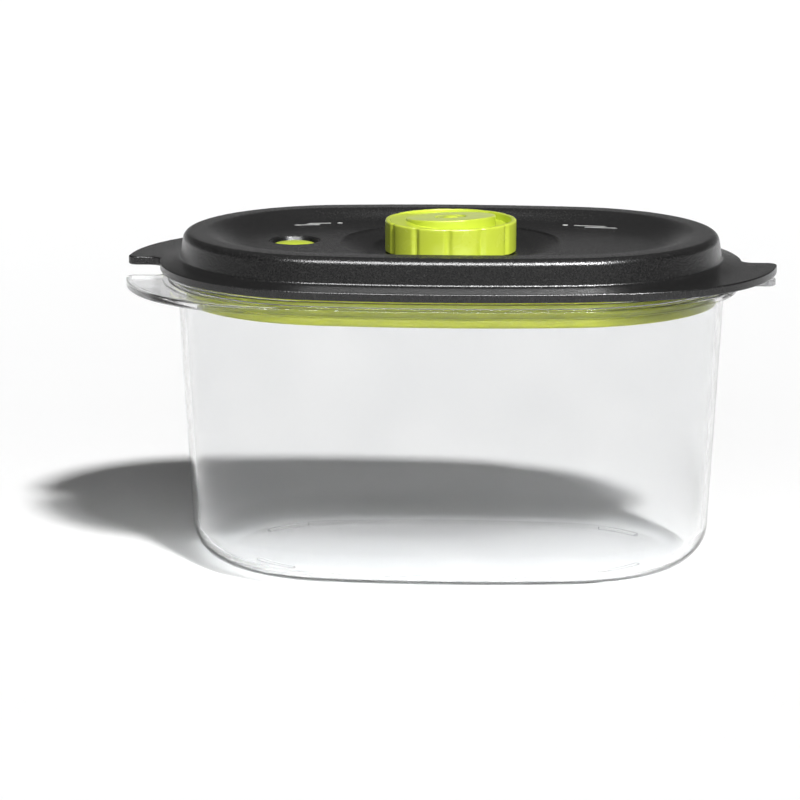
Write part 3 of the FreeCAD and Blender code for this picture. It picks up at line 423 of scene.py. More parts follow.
def tabStations():  # indices of a ring's points that lie on its two finger tabs
    before = ringSteps["side"] + ringSteps["end"]
    half = before + tabSteps + ringSteps["rest"] + ringSteps["side"]
    inside = range(before + ringSteps["root"] // 2, before + tabSteps - ringSteps["blend"])
    return {place + half * end for place in inside for end in (0, 1)}


def makeContainer():
    size = container
    base, top = size["footHeight"], levels("container_body")[1]
    lipTop = top - size["collarHeight"]
    lipLow = lipTop - size["lipThickness"]
    lip, collar = size["lipInset"], size["collarInset"]
    footInset = size["wallInset"] + size["lean"]
    perRise = size["lean"] / (lipLow - base)
    mouth = size["wallInset"] + size["wall"] - perRise * size["lipThickness"]
    floorInset = footInset + size["wall"] - perRise * size["floor"]
    outside = roundCorners([
        (size["flat"], base, 0, "oval"),
        (size["footInner"], base, 0, "oval"),
        (size["footOuter"], base, 0, "oval"),
        (footInset, base, size["baseRound"], "oval"),
        (size["wallInset"], lipLow, size["wallRound"], "oval"),
        (lip, lipLow, size["lipRound"], "tab"),
        (lip, lipTop, size["lipRound"], "tab"),
        (lip + size["beadWidth"], lipTop, 0, "tab"),
    ], steps=size["roundSteps"])
    inside = roundCorners([
        (lip, lipTop, 0, "oval"),
        (collar, lipTop, size["collarFoot"], "oval"),
        (collar, top, size["rimRound"], "oval"),
        (collar + size["wall"], top, size["rimRound"], "oval"),
        (collar + size["wall"], lipTop, size["seatRound"], "oval"),
        (mouth, lipTop, size["mouthRound"], "oval"),
        (floorInset, base + size["floor"], size["baseRound"] - size["wall"], "oval"),
        (size["flat"], base + size["floor"], 0, "oval"),
    ], steps=size["roundSteps"])
    onTab = tabStations()
    rings = [containerRing(row) for row in outside[:-1]]
    bead, lipEdge = containerRing(outside[-1]), containerRing(inside[0])
    collarStart = containerRing(inside[1])
    plain = [edge.lerp(start, size["plainReach"]) for edge, start in zip(lipEdge, collarStart)]
    drop = Vector((0, 0, -size["recess"] * mm))
    # on the tabs these rings draw a bead round a shallow recess, elsewhere they lie flat on the lip
    outer = rings[-1]
    for share, line, fall in ((0.1, bead, 0), (0.2, bead, 1), (0.3, lipEdge, 1), (0.4, lipEdge, 0)):
        ring = []
        for place, (onLine, start) in enumerate(zip(line, plain)):
            ring.append(onLine + drop * fall if place in onTab else outer[place].lerp(start, share))
        rings.append(ring)
        outer = lipEdge
    rings += [containerRing(row) for row in inside[1:]]
    bm = bmesh.new()
    made = ringChain(bm, rings)
    fillFlat(bm, made[0])
    fillFlat(bm, made[-1])
    addFeet(bm, made[1], made[2])
    bmesh.ops.scale(bm, vec=(1, -1, 1), verts=bm.verts)  # its tabs are on the other hand from the lid's
    return finishPiece(bm, "containerShell", "container", "container_body", clearPlastic)


def addFeet(bm, innerRing, outerRing):  # short curved feet, drawn down from the ring between two lines
    size, centre = container, rimPlan["endCentre"] * mm
    lower, upper = radians(size["footStart"]), radians(size["footStart"] + size["footSweep"])
    onLines = set(innerRing) | set(outerRing)
    chosen = []
    for face in bm.faces:
        if not all(vert in onLines for vert in face.verts):
            continue
        middle = face.calc_center_median()
        if lower < atan2(abs(middle.y), abs(middle.x) - centre) < upper:
            chosen.append(face)
    made = bmesh.ops.extrude_face_region(bm, geom=chosen)["geom"]
    sunk = [item for item in made if isinstance(item, bmesh.types.BMVert)]
    bmesh.ops.translate(bm, verts=sunk, vec=(0, 0, -size["footHeight"] * mm))
    bmesh.ops.delete(bm, geom=chosen, context="FACES")  # the faces that the feet now cover


makeContainer()
print("container made")


# lid: one moulded shell, from the pan's underside round the skirt and flange to the sunken panel
lid = {"wall": 2.4, "skirtBottom": levels("lid_shell")[0], "seatGap": 1.0, "hollow": 13.4, "hollowReach": 2.3,
       "skirt": 11.4, "skirtRound": 0.4, "channel": 9.8, "channelRound": 0.2, "flange": 2.8, "flangeRound": 0.5,
       "ledgeStart": 0.6, "ledgeRise": 1.1, "foot": 6.5, "footRound": 1.0, "crownInset": 7.9, "crownRound": 2.6,
       "browInset": 17.0, "slopeSteps": 12, "slopeStart": -0.3, "slopeEnd": 1.4, "panelDepth": 3.6,
       "edgeRound": 0.3, "hipRound": 0.5, "roundSteps": 6, "circleSteps": 128,
       "dishRadius": 36.0, "dishFloor": 27.0, "dishDepth": 3.0, "dishBrim": 2.0, "bedRound": 5.0,
       "stepWidth": 0.5, "stepDepth": 0.6, "stepRound": 0.15, "bore": 9.05, "boss": 12.05, "bossLength": 4.2,
       "wellX": -51.0, "well": 8.4, "wellBrim": 0.6, "wellWall": 2.0, "wellLength": 7.6, "wellRound": 0.2,
       "stopRadius": 16.0, "stopWidth": 2.4, "stopHeight": 3.6, "stopSink": 0.3,
       "stopStart": 99.0, "stopSweep": 252.0}


def lidLevels():
    top = levels("lid_shell")[1]
    flangeLow = levels("container_body")[1] + lid["seatGap"]
    return {"top": top, "ceiling": top - lid["wall"],
            "flangeLow": flangeLow, "flangeTop": flangeLow + lid["flange"],
            "panel": top - lid["panelDepth"], "panelLow": top - lid["panelDepth"] - lid["wall"]}


def browSlope(level):  # soft slope from the crown's inner edge down to the panel
    brow, bed = ovalRing(rimPlan, lid["browInset"]), ovalRing(panelPlan, 0)
    rings = []
    for step in range(lid["slopeSteps"] + 1):
        along = step / lid["slopeSteps"]
        reach = lid["slopeStart"] + (lid["slopeEnd"] - lid["slopeStart"]) * along
        z = level["top"] - lid["panelDepth"] * along * along * (3 - 2 * along)
        points = [Vector(a).lerp(Vector(b), reach) for a, b in zip(brow, bed)]
        rings.append(atLevel(points, z))
    return rings


def lidRing(row):
    inset, z, kind = row
    return atLevel(tabRing(inset, 0) if kind == "tab" else ovalRing(rimPlan, inset), z)


def turnedRings(bm, corners, x=0.0):
    rows = roundCorners(corners)
    return ringChain(bm, [atLevel(circleRing(radius, lid["circleSteps"], x), z) for radius, z in rows])


def makeLid():
    size, level = lid, lidLevels()
    rows = roundCorners([
        (size["browInset"] - size["hollowReach"], level["ceiling"], 0, "oval"),
        (size["hollow"], level["ceiling"], size["edgeRound"], "oval"),
        (size["hollow"], size["skirtBottom"], size["skirtRound"], "oval"),
        (size["skirt"], size["skirtBottom"], size["skirtRound"], "oval"),
        (size["skirt"], level["ceiling"], size["channelRound"], "oval"),
        (size["channel"], level["ceiling"], size["channelRound"], "oval"),
        (size["channel"], level["flangeLow"], size["edgeRound"], "oval"),
        (0, level["flangeLow"], size["flangeRound"], "tab"),
        (0, level["flangeTop"], size["flangeRound"], "tab"),
        (size["ledgeStart"], level["flangeTop"], 0, "oval"),
        (size["foot"], level["flangeTop"] + size["ledgeRise"], size["footRound"], "oval"),
        (size["crownInset"], level["top"], size["crownRound"], "oval"),
        (size["browInset"], level["top"], 0, "oval"),
    ], steps=size["roundSteps"])
    rings = [atLevel(ovalRing(panelPlan, -size["wall"] / 2), level["panelLow"])]
    rings += [lidRing(row) for row in rows[:-1]] + browSlope(level)
    bm = bmesh.new()
    shell = ringChain(bm, rings)
    floor = level["panel"] - size["dishDepth"]
    under = floor - size["wall"]
    brim, hip, edge = size["dishRadius"] + size["dishBrim"], size["hipRound"], size["edgeRound"]
    dish = turnedRings(bm, [
        (brim, level["panel"], 0),
        (size["dishRadius"], level["panel"], size["stepRound"]),
        (size["dishRadius"] - size["stepWidth"], level["panel"] - size["stepDepth"], size["stepRound"]),
        (size["dishFloor"], floor, size["bedRound"]),
        (size["bore"], floor, edge),
        (size["bore"], under - size["bossLength"], edge),
        (size["boss"], under - size["bossLength"], edge),
        (size["boss"], under, hip),
        (size["dishFloor"] + size["wall"] / 2, under, hip),
        (brim - 2 * hip, level["panelLow"], hip),
        (brim + hip, level["panelLow"], 0),
    ])
    wellLow = level["panelLow"] - size["wellLength"]
    outer = size["well"] + size["wellWall"]
    well = turnedRings(bm, [
        (size["well"] + size["wellBrim"], level["panel"], 0),
        (size["well"], level["panel"], edge),
        (size["well"], wellLow, size["wellRound"]),
        (outer, wellLow, size["wellRound"]),
        (outer, level["panelLow"], hip),
        (outer + 2 * hip, level["panelLow"], 0),
    ], size["wellX"])
    fillFlat(bm, shell[-1], dish[0], well[0])
    fillFlat(bm, shell[0], dish[-1], well[-1])
    half = size["stopWidth"] / 2  # the rib that stops the dial at both ends of its turn
    arcBlock(bm, size["stopRadius"] - half, size["stopRadius"] + half, floor - size["stopSink"],
             floor + size["stopHeight"], radians(size["stopStart"]), radians(size["stopSweep"]))
    return finishPiece(bm, "lidShell", "lid", "lid_shell", grainedBlack)


makeLid()
print("lid made")


# gasket: a band in the lid's channel, with a flap over the container's rim, a fin and a thick lip
gasket = {"inner": 11.35, "outer": 9.85, "flap": 5.1, "flapDepth": 2.0, "flapGap": 0.05, "seat": 3.1,
          "seatDepth": 0.85, "reach": 8.23, "lip": 3.0, "lipRound": 0.9, "fin": 1.2, "finStep": 4.2, "tipRound": 0.45,
          "footRound": 0.2, "edgeRound": 0.3, "notchRound": 0.1, "roundSteps": 3}


def makeGasket():
    size, (low, high) = gasket, levels("lid_gasket")
    flapTop = lidLevels()["flangeLow"] - size["flapGap"]
    flapLow, seatLow = flapTop - size["flapDepth"], flapTop - size["seatDepth"]
    tip, bulge, foot, edge = size["tipRound"], size["lipRound"], size["footRound"], size["edgeRound"]
    corners = [(size["inner"], low, foot)]
    for finLow, thickness, rounding in ((low, size["lip"], bulge), (low + size["finStep"], size["fin"], tip)):
        corners += [(size["outer"], finLow, foot), (size["reach"], finLow, rounding),
                    (size["reach"], finLow + thickness, rounding), (size["outer"], finLow + thickness, edge)]
    corners += [(size["outer"], flapLow, edge), (size["flap"], flapLow, tip),
                (size["flap"], seatLow, size["notchRound"]), (size["seat"], seatLow, edge),
                (size["seat"], flapTop, edge), (size["outer"], flapTop, edge),
                (size["outer"], high, edge), (size["inner"], high, edge)]
    rows = roundCorners(corners, True, size["roundSteps"])
    bm = bmesh.new()
    made = ringChain(bm, [atLevel(ovalRing(rimPlan, inset), z) for inset, z in rows])
    joinRings(bm, made[-1], made[0])
    return finishPiece(bm, "lidGasket", "lid", "lid_gasket", limeSilicone)


makeGasket()
print("gasket made")


# dial: fluted cap with a moat round a tilted thumb pad, and a hub below
dial = {"radius": 21.4, "wall": 2.0, "top": 5.2, "edgeRound": 0.6, "rimHeight": 10.1, "rimBand": 1.6, "ride": 0.35,
        "flutes": 12, "fluteSteps": 20, "fluteHalf": 3.7, "fluteDepth": 0.75, "fluteSoftness": 1.4, "fluteFade": 0.7,
        "fluteTop": 1.6, "moatDepth": 2.6, "thumb": 14.6, "thumbRise": 0.85, "thumbTilt": 4.3, "thumbTurn": -60.0,
        "thumbRound": 0.45, "hub": 9.0, "bore": 5.1, "throat": 4.4, "seat": 2.5, "web": 7.1, "webThickness": 2.0,
        "stemHole": 1.05, "clipTop": 9.6, "clipWidth": 1.0, "clipDepth": 1.2, "ringMiddle": 6.4, "ringHalf": 0.9,
        "ringDepth": 1.4, "cornerRound": 0.3, "lipRound": 0.35, "hubRound": 0.4, "wallRound": 0.6, "roundSteps": 4,
        "rimDraft": 0.02, "rimDrop": 0.4, "moatDraft": 0.05, "moatRound": 0.5, "moatSag": 0.08, "thumbFoot": 0.2,
        "thumbDrop": 1.0, "boreDrop": 0.6, "sharp": 50,
        "lugSweep": 16.0, "lugGap": 0.5, "lugSink": 0.2}


def fluteCut(angle):  # depth of the flute at an angle, from 0 to 1
    pitch = 2 * pi / dial["flutes"]
    off = (angle + pi / 2 + pitch / 2) % pitch - pitch / 2
    half = radians(dial["fluteHalf"])
    return cos(off / half * pi / 2) ** dial["fluteSoftness"] if abs(off) < half else 0.0


def dialRing(radius, z, kind):
    count = dial["flutes"] * dial["fluteSteps"]
    heading = radians(dial["thumbTurn"])
    share = {"fluted": 1.0, "faded": dial["fluteFade"]}.get(kind, 0.0)
    places = []
    for step in range(count):
        angle = 2 * pi * step / count
        reach = radius - dial["fluteDepth"] * share * fluteCut(angle)
        x, y = reach * cos(angle), reach * sin(angle)
        lift = 0.0
        if kind == "moat":
            lift = -x * dial["moatDepth"] / (2 * (dial["radius"] - dial["rimBand"]))
        if kind == "thumb":
            lift = tan(radians(dial["thumbTilt"])) * (x * cos(heading) + y * sin(heading))
        places.append(Vector((x, y, z + lift)) * mm)
    return places


def dialRim():
    return lidLevels()["panel"] - lid["dishDepth"] + dial["ride"] + dial["rimHeight"]


def makeDial():
    size, rim, low = dial, dialRim(), levels("dial_knob")[0]
    bottom, ceiling = rim - size["rimHeight"], rim - size["top"]
    radius = size["radius"]
    webTop = rim - size["web"]
    webLow = webTop - size["webThickness"]
    seat, pad = rim - size["seat"], rim + size["thumbRise"]
    floor = rim - size["moatDepth"] / 2
    edge = radius - size["rimBand"]
    panel, corner, lip = lidLevels()["panel"], size["cornerRound"], size["lipRound"]
    clipHigh, ringMiddle = panel - size["clipTop"], panel - size["ringMiddle"]
    corners = [
        (size["stemHole"], webLow, 0, "plain"),
        (size["bore"], webLow, 0, "plain"),
        (size["bore"], low, 0, "plain"),
        (size["hub"], low, corner, "plain"),
    ]
    grooves = ((clipHigh - size["clipWidth"], clipHigh, size["clipDepth"]),
               (ringMiddle - size["ringHalf"], ringMiddle + size["ringHalf"], size["ringDepth"]))
    for grooveLow, grooveHigh, depth in grooves:  # for the clip and for the ring
        corners += [(size["hub"], grooveLow, 0, "plain"), (size["hub"] - depth, grooveLow, 0, "plain"),
                    (size["hub"] - depth, grooveHigh, 0, "plain"), (size["hub"], grooveHigh, 0, "plain")]
    corners += [
        (size["hub"], ceiling, size["hubRound"], "plain"),
        (radius - size["wall"], ceiling, size["wallRound"], "plain"),
        (radius - size["wall"], bottom, corner, "plain"),
        (radius, bottom, corner, "fluted"),
        (radius, rim - size["fluteTop"], 0, "fluted"),
        (radius, rim, size["edgeRound"], "faded"),
        (edge, rim, lip, "plain"),
        (edge - size["rimDraft"], rim - size["rimDrop"], 0, "plain"),
    ]
    rings = [dialRing(*row) for row in roundCorners(corners, steps=size["roundSteps"])[:-1]]
    sag = floor - size["moatSag"]
    rings += [dialRing(edge - size["moatDraft"], floor, "moat"), dialRing(edge - size["moatRound"], sag, "moat")]
    rings.append(dialRing(size["thumb"] + size["moatRound"], sag, "moat"))
    rings.append(dialRing(size["thumb"], floor + size["thumbFoot"], "moat"))
    pads = roundCorners([
        (size["thumb"], pad - size["thumbDrop"], 0, "thumb"),
        (size["thumb"], pad, size["thumbRound"], "thumb"),
        (size["bore"], pad, lip, "thumb"),
        (size["bore"], pad - size["boreDrop"], 0, "thumb"),
    ], steps=size["roundSteps"])
    rings += [dialRing(*row) for row in pads[1:]]
    rings += [dialRing(size["bore"], seat, "plain"), dialRing(size["throat"], seat, "plain")]
    rings += [dialRing(size["throat"], webTop, "plain"), dialRing(size["stemHole"], webTop, "plain")]
    bm = bmesh.new()
    made = ringChain(bm, rings)
    joinRings(bm, made[-1], made[0])
    half = lid["stopWidth"] / 2  # the lug that runs between the ends of the lid's rib
    arcBlock(bm, lid["stopRadius"] - half, lid["stopRadius"] + half, bottom + size["lugGap"] - size["ride"],
             ceiling + size["lugSink"], radians(90 - size["lugSweep"] / 2), radians(size["lugSweep"]))
    return finishPiece(bm, "dialKnob", "dial", "dial_knob", limePlastic, size["sharp"])


makeDial()
print("dial made")


# small domed cap in the middle of the dial, with vents at its edge
portCap = {"radius": 5.0, "edge": 0.25, "bevel": 0.08, "dome": 2.7, "domeFoot": 0.15, "domeRise": 0.9,
           "domeLift": 0.001, "domeSteps": 8, "vents": 4, "ventHalf": 9.5, "ventDepth": 1.2, "steps": 96}


def capRing(radius, z, notched):
    size = portCap
    places = []
    for step in range(size["steps"]):
        angle = 2 * pi * step / size["steps"]
        pitch = 2 * pi / size["vents"]
        off = (angle + pitch / 2) % pitch - pitch / 2
        half = radians(size["ventHalf"])
        cut = size["ventDepth"] * sqrt(1 - (off / half) ** 2) if notched and abs(off) < half else 0.0
        places.append(Vector(((radius - cut) * cos(angle), (radius - cut) * sin(angle), z)) * mm)
    return places


def makePortCap():
    size, (low, high) = portCap, levels("port_cap")
    face = high - size["domeRise"]
    ball = (size["dome"] ** 2 + size["domeRise"] ** 2) / (2 * size["domeRise"])
    edge, bevel = size["edge"], size["bevel"]
    walls = ((0, low), (0, face - edge), (bevel, face - bevel), (edge, face))
    rings = [capRing(size["radius"] - inset, z, True) for inset, z in walls]
    rings.append(capRing(size["dome"] + size["domeFoot"], face, False))
    for step in range(size["domeSteps"]):
        swing = asin(size["dome"] / ball) * (1 - step / size["domeSteps"])
        z = face + size["domeRise"] - ball * (1 - cos(swing)) + size["domeLift"]
        rings.append(capRing(ball * sin(swing), z, False))
    bm = bmesh.new()
    made = ringChain(bm, rings)
    fillFlat(bm, made[0])
    fillFlat(bm, made[-1])
    return finishPiece(bm, "portCap", "dial", "port_cap", limePlastic)


makePortCap()


# valve pieces inside the hub and under the boss
umbrella = {"stem": 1.0, "barb": 1.5, "barbLength": 1.4, "tip": 0.6, "flap": 3.9, "edge": 0.4, "arch": 0.2,
            "web": 2.1, "crownReach": 0.5, "crownDrop": 0.25, "crownRound": 2.0, "tipRound": 0.2, "barbRound": 0.15,
            "flapRound": 0.1, "edgeRound": 0.2, "roundSteps": 3}


def makeUmbrella():
    size, (low, high) = umbrella, levels("umbrella_valve")
    under = low + size["barbLength"]
    over = under + size["web"]
    profile = roundCorners([
        (0, low, 0), (size["tip"], low, size["tipRound"]), (size["barb"], under, size["barbRound"]),
        (size["stem"], under, 0), (size["stem"], over + size["arch"], size["flapRound"]),
        (size["flap"], over, size["flapRound"]), (size["flap"], over + size["edge"], size["edgeRound"]),
        (size["flap"] * size["crownReach"], high - size["crownDrop"], size["crownRound"]), (0, high, 0),
    ], steps=size["roundSteps"])
    bm = spun(profile)
    return finishPiece(bm, "umbrellaValve", "dial", "umbrella_valve", paleSilicone)


hubRing = {"sectionSteps": 20}


def makeHubRing():
    low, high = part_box("hub_ring")
    section, middle = (high.z - low.z) / mm / 2, (high.z + low.z) / mm / 2
    centre = high.x / mm - section
    bm = spun([(centre + a, middle + z) for a, z in circleRing(section, hubRing["sectionSteps"])])
    return finishPiece(bm, "hubRing", "dial", "hub_ring", blackRubber)


hubClip = {"inner": 7.9, "outer": 10.6, "round": 0.1, "roundSteps": 2, "start": 35.0, "sweep": 290.0}


def makeHubClip():
    size, (low, high) = hubClip, levels("hub_clip")
    corners = ((size["inner"], low), (size["outer"], low), (size["outer"], high), (size["inner"], high))
    profile = roundCorners([(*corner, size["round"]) for corner in corners], True, size["roundSteps"])
    bm = spun(profile, sweep=radians(size["sweep"]), start=radians(size["start"]))
    return finishPiece(bm, "hubClip", "dial", "hub_clip", springSteel)


portedDiscs = {"portRadius": 1.4, "portOffset": 2.9, "steps": 96, "portSteps": 24, "roundSteps": 3}
faceSeal = {"spigot": 5.05, "edge": 8.95, "thickness": 1.35, "edgeRound": 0.25, "footRound": 0.1, "spigotRound": 0.2,
            "margin": 0.5}
guard = {"inner": 12.15, "wall": 1.8, "baseRound": 0.9, "outerRound": 0.4, "innerRound": 0.3, "floorRound": 0.4,
         "baseMargin": 1.5, "floorMargin": 1.0}


def portRings(bm, low, high, turn):  # two round ports through a disc
    size, made = portedDiscs, []
    for side in (1, -1):
        x, y = side * size["portOffset"] * cos(turn), side * size["portOffset"] * sin(turn)
        outline = [(x + a, y + b) for a, b in circleRing(size["portRadius"], size["portSteps"])]
        made.append(ringChain(bm, [atLevel(outline, low), atLevel(outline, high)]))
    return made


def portedPiece(name, body, node, finish, corners, lowPort, highPort, turn):
    rows = roundCorners(corners, steps=portedDiscs["roundSteps"])
    bm = bmesh.new()
    outside = ringChain(bm, [atLevel(circleRing(radius, portedDiscs["steps"]), z) for radius, z in rows])
    ports = portRings(bm, lowPort, highPort, turn)
    fillFlat(bm, outside[0], *[port[0] for port in ports])
    fillFlat(bm, outside[-1], *[port[1] for port in ports])
    return finishPiece(bm, name, body, node, finish)


def makeFaceSeal():
    size, (low, high) = faceSeal, levels("face_seal")
    edge, spigot, disc = size["edge"], size["spigot"], low + size["thickness"]
    corners = [(edge - size["margin"], low, 0), (edge, low, size["edgeRound"]), (edge, disc, size["edgeRound"]),
               (spigot, disc, size["footRound"]), (spigot, high, size["spigotRound"]),
               (spigot - size["margin"], high, 0)]
    return portedPiece("faceSeal", "dial", "face_seal", paleSilicone, corners, low, high, 0)


def makeGuard():
    size, (low, high) = guard, levels("valve_guard")
    inner, outer, floor = size["inner"], size["inner"] + size["wall"], low + size["wall"]
    corners = [(outer - size["baseMargin"], low, 0), (outer, low, size["baseRound"]),
               (outer, high, size["outerRound"]), (inner, high, size["innerRound"]),
               (inner, floor, size["floorRound"]), (inner - size["floorMargin"], floor, 0)]
    return portedPiece("valveGuard", "lid", "valve_guard", grainedBlack, corners, low,
                       floor, pi / 2)


makeUmbrella()
makeHubRing()
makeHubClip()
makeFaceSeal()
makeGuard()
print("valve made")


# vacuum indicator: glossy sleeve, domed button, diaphragm and retaining ring
indicator = {"x": lid["wellX"], "sleeve": 8.3, "wall": 1.2, "steps": 96}
bezel = {"flare": 0.7, "flareDepth": 1.8, "footRound": 0.2, "topRound": 0.25, "mouthRound": 0.3, "throatRound": 0.5,
         "roundSteps": 4}


def makeBezel():
    size, (low, high) = bezel, levels("indicator_bezel")
    outer, inner = indicator["sleeve"], indicator["sleeve"] - indicator["wall"]
    profile = roundCorners([
        (inner, low, size["footRound"]), (outer, low, size["footRound"]), (outer, high, size["topRound"]),
        (inner + size["flare"], high, size["mouthRound"]), (inner, high - size["flareDepth"], size["throatRound"]),
    ], True, size["roundSteps"])
    bm = spun(profile, indicator["x"], steps=indicator["steps"])
    return finishPiece(bm, "indicatorBezel", "lid", "indicator_bezel", glossBlack)


button = {"gap": 0.3, "crown": 0.9, "crownShares": (0.66, 0.5, 0.34, 0.17, 0), "crownRound": 0.8, "footRound": 0.3,
          "roundSteps": 6}


def makeButton():
    size, (low, high) = button, levels("indicator_button")
    radius = indicator["sleeve"] - indicator["wall"] - size["gap"]
    ball = (radius ** 2 + size["crown"] ** 2) / (2 * size["crown"])
    crown = [(ball * sin(swing), high - ball * (1 - cos(swing)), 0)
             for swing in (asin(radius * share / ball) for share in size["crownShares"])]
    shoulder = (radius, high - size["crown"], size["crownRound"])
    profile = roundCorners([(0, low, 0), (radius, low, size["footRound"]), shoulder, *crown],
                           steps=size["roundSteps"])
    bm = spun(profile, indicator["x"], steps=indicator["steps"])
    return finishPiece(bm, "indicatorButton", "indicator", "indicator_button", limePlastic)


diaphragm = {"pad": 3.0, "skin": 0.6, "rim": 1.2, "rimRound": 0.15, "clampRound": 0.2, "outerBend": 0.3,
             "innerBend": 0.4, "roundSteps": 3, "squeeze": 0.22}


def makeDiaphragm():
    size, (low, high) = diaphragm, levels("indicator_diaphragm")
    outer, clamp = indicator["sleeve"], indicator["sleeve"] - indicator["wall"]
    rimTop, skin, rounding = low + size["rim"], low + size["skin"], size["rimRound"]
    profile = roundCorners([
        (0, low, 0), (outer, low, rounding), (outer, rimTop, rounding), (clamp, rimTop, size["clampRound"]),
        (clamp - size["skin"], skin, size["outerBend"]), (size["pad"] + size["skin"], skin, size["innerBend"]),
        (size["pad"], high, rounding), (0, high, 0),
    ], steps=size["roundSteps"])
    x = indicator["x"]
    piece = finishPiece(spun(profile, x), "indicatorDiaphragm", "lid", "indicator_diaphragm",
                        paleSilicone)
    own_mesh(piece)
    return piece


retainer = {"opening": 4.5, "openingRound": 0.3, "edgeRound": 0.2, "roundSteps": 3}


def makeRetainer():
    size, (low, high) = retainer, levels("indicator_retainer")
    opening, outer, edge = size["opening"], indicator["sleeve"], size["edgeRound"]
    profile = roundCorners([(opening, low, size["openingRound"]), (outer, low, edge), (outer, high, edge),
                            (opening, high, edge)], True, size["roundSteps"])
    bm = spun(profile, indicator["x"])
    return finishPiece(bm, "indicatorRetainer", "lid", "indicator_retainer", grainedBlack)


makeBezel()
makeButton()
makeDiaphragm()
makeRetainer()
print("indicator made")


# two plain printed marks on the panel, one for each end of the dial's turn
marks = {"dot": 0.9, "dotSteps": 24, "barLength": 20.0, "barShares": (1.0, 0.6), "barWidth": 0.8, "barStart": 3.0,
         "barGap": 2.6, "thickness": 0.04, "left": (-38.5, 34.5), "right": (37.0, 34.0), "turn": 9.0}


def makeMarks():
    size, z = marks, lidLevels()["panel"]
    bm = bmesh.new()
    for (x, y), side in ((size["left"], -1), (size["right"], 1)):
        lean = Matrix.Rotation(radians(-side * size["turn"]), 4, "Z")
        made = bmesh.ops.create_circle(bm, cap_ends=True, segments=size["dotSteps"], radius=size["dot"] * mm)["verts"]
        bmesh.ops.translate(bm, verts=made, vec=Vector((x, y, z + size["thickness"])) * mm)
        for row, share in enumerate(size["barShares"]):
            bar = bmesh.ops.create_grid(bm, x_segments=1, y_segments=1, size=0.5)["verts"]
            length = size["barLength"] * share
            bmesh.ops.scale(bm, verts=bar, vec=Vector((length, size["barWidth"], 1)) * mm)
            shift = Vector((side * (size["barStart"] + size["barLength"] / 2), -row * size["barGap"], 0)) * mm
            bmesh.ops.translate(bm, verts=bar, vec=shift)
            bmesh.ops.rotate(bm, verts=bar, cent=(0, 0, 0), matrix=lean)
            bmesh.ops.translate(bm, verts=bar, vec=Vector((x, y, z + size["thickness"])) * mm)
    made = bmesh.ops.extrude_face_region(bm, geom=bm.faces[:])["geom"]
    lower = [item for item in made if isinstance(item, bmesh.types.BMVert)]
    bmesh.ops.translate(bm, verts=lower, vec=(0, 0, -2 * size["thickness"] * mm))
    return finishPiece(bm, "positionMarks", "lid", None, whitePrint)


makeMarks()
print("marks made")


# stage: white floor that keeps the shadow, and a white surround
stage = {"floorSize": 8.0, "nearWhite": 0.93, "farWhite": 1.0, "nearReach": 0.25, "farReach": 0.9,
         "floorRoughness": 0.9, "fill": 0.07, "dimmest": 0.35, "brightSide": (-0.5, 0.86, 0),
         # sine of the height that a ray goes to, and the strength there
         "mirrored": ((0.0, 0.5), (0.12, 0.45), (0.20, 0.07), (0.60, 0.10), (1.0, 0.40)),
         "through": ((0.0, 1.0), (0.30, 1.0), (0.55, 0.30), (1.0, 0.30))}


def makeFloor():
    bm = bmesh.new()
    bmesh.ops.create_grid(bm, x_segments=1, y_segments=1, size=stage["floorSize"] / 2)
    mesh = bpy.data.meshes.new("studioFloor")
    bm.to_mesh(mesh)
    bm.free()
    floor = bpy.data.objects.new("studioFloor", mesh)
    bpy.context.collection.objects.link(floor)
    paint, nodes, links, shader = newFinish("studioWhite")
    place = nodes.new("ShaderNodeTexCoord")
    away = nodes.new("ShaderNodeVectorMath")
    away.operation = "LENGTH"
    links.new(place.outputs["Object"], away.inputs[0])
    fade = mapRange(nodes, [stage[name] for name in ("nearReach", "farReach", "nearWhite", "farWhite")])
    links.new(away.outputs["Value"], fade.inputs["Value"])
    links.new(fade.outputs["Result"], shader.inputs["Base Color"])
    shader.inputs["Roughness"].default_value = stage["floorRoughness"]
    shader.inputs["Specular IOR Level"].default_value = 0.0
    mesh.materials.append(paint)


def heightRamp(nodes, links, parts, stops):  # strength by the height that a ray goes to
    rise = nodes.new("ShaderNodeValToRGB")
    steps = rise.color_ramp.elements
    for place, strength in stops[1:-1]:
        steps.new(place)
    for step, (place, strength) in zip(steps, stops):
        step.position, step.color = place, (strength,) * 3 + (1,)
    links.new(parts.outputs["Z"], rise.inputs["Fac"])
    return rise.outputs["Color"]


def choose(nodes, links, factor, first, second):  # the second where the factor is one
    choice = nodes.new("ShaderNodeMix")
    for socket, value in (("A", first), ("B", second)):
        if isinstance(value, float):
            choice.inputs[socket].default_value = value
        else:
            links.new(value, choice.inputs[socket])
    links.new(factor, choice.inputs["Factor"])
    return choice.outputs["Result"]


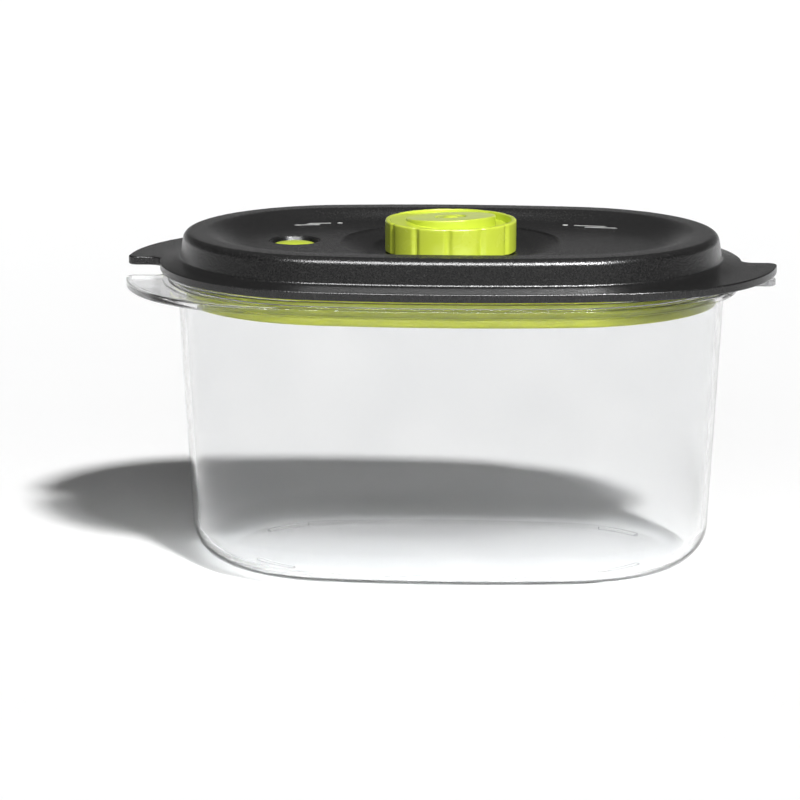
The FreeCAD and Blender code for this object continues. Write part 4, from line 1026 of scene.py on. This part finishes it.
def makeWorld():
    world = bpy.data.worlds.new("studioWorld")
    bpy.context.scene.world = world
    world.use_nodes = True
    nodes, links = world.node_tree.nodes, world.node_tree.links
    background = nodes["Background"]
    background.inputs["Color"].default_value = (1, 1, 1, 1)
    direction = nodes.new("ShaderNodeTexCoord")
    parts = nodes.new("ShaderNodeSeparateXYZ")
    links.new(direction.outputs["Generated"], parts.inputs["Vector"])
    path = nodes.new("ShaderNodeLightPath")
    toBright = nodes.new("ShaderNodeVectorMath")  # reflections are dimmer from the front right
    toBright.operation = "DOT_PRODUCT"
    toBright.inputs[1].default_value = stage["brightSide"]
    links.new(direction.outputs["Generated"], toBright.inputs[0])
    share = mapRange(nodes, (-1.0, 1.0, stage["dimmest"], 1.0))
    links.new(toBright.outputs["Value"], share.inputs["Value"])
    mirrored = nodes.new("ShaderNodeMath")
    mirrored.operation = "MULTIPLY"
    links.new(heightRamp(nodes, links, parts, stage["mirrored"]), mirrored.inputs[0])
    links.new(share.outputs["Result"], mirrored.inputs[1])
    through = heightRamp(nodes, links, parts, stage["through"])  # clear plastic shows the white surround
    strength = choose(nodes, links, path.outputs["Is Glossy Ray"], 1.0, mirrored.outputs["Value"])
    strength = choose(nodes, links, path.outputs["Is Transmission Ray"], strength, through)
    scattered = nodes.new("ShaderNodeMath")  # rays that left a matt surface find only the fill
    scattered.operation = "MINIMUM"
    scattered.inputs[1].default_value = 1.0
    links.new(path.outputs["Diffuse Depth"], scattered.inputs[0])
    strength = choose(nodes, links, scattered.outputs["Value"], strength, stage["fill"])
    links.new(strength, background.inputs["Strength"])


lamps = {"key": {"kind": "SUN", "from": (0.45, -0.84, 1.0), "spread": radians(6), "power": 4.05},
         "front": {"kind": "AREA", "from": (0.0, -1.5, 0.6), "spread": (0.8, 0.8), "power": 3.6},
         "strip": {"kind": "AREA", "from": (0.1, -1.0, 1.15), "spread": (1.5, 0.5), "power": 70.0}}


def makeLamps():
    for name, lamp in lamps.items():
        data = bpy.data.lights.new(name, lamp["kind"])
        if lamp["kind"] == "SUN":
            data.angle = lamp["spread"]
        else:
            data.shape, (data.size, data.size_y) = "RECTANGLE", lamp["spread"]
        data.energy = lamp["power"]
        lampObject = bpy.data.objects.new(name, data)
        bpy.context.collection.objects.link(lampObject)
        lampObject.location = lamp["from"]
        lampObject.rotation_euler = (-lampObject.location).to_track_quat("-Z", "Y").to_euler()
        lampObject.visible_diffuse = name != "strip"  # the strip only draws highlights
        lampObject.visible_glossy = name != "front"  # and the front lamp draws none
        lampObject.visible_transmission = False  # lamp light passes the clear walls as a shadow ray


camera = {"place": (49.1, -1286.7, 327.15), "heading": -0.051, "pitch": 0.210, "lens": 180.0, "sensor": 36.0,
          "nearest": 0.05, "farthest": 50.0}


def makeCamera():
    data = bpy.data.cameras.new("photoCamera")
    data.lens = camera["lens"]
    data.sensor_width = camera["sensor"]
    data.clip_start, data.clip_end = camera["nearest"], camera["farthest"]
    eye = bpy.data.objects.new("photoCamera", data)
    bpy.context.collection.objects.link(eye)
    heading, pitch = camera["heading"], camera["pitch"]
    look = Vector((sin(heading) * cos(pitch), cos(heading) * cos(pitch), -sin(pitch)))
    eye.location = Vector(camera["place"]) * mm
    eye.rotation_euler = look.to_track_quat("-Z", "Y").to_euler()
    bpy.context.scene.camera = eye


makeFloor()
makeWorld()
makeLamps()
makeCamera()
bpy.context.scene.view_settings.view_transform = "Standard"
print("stage made")
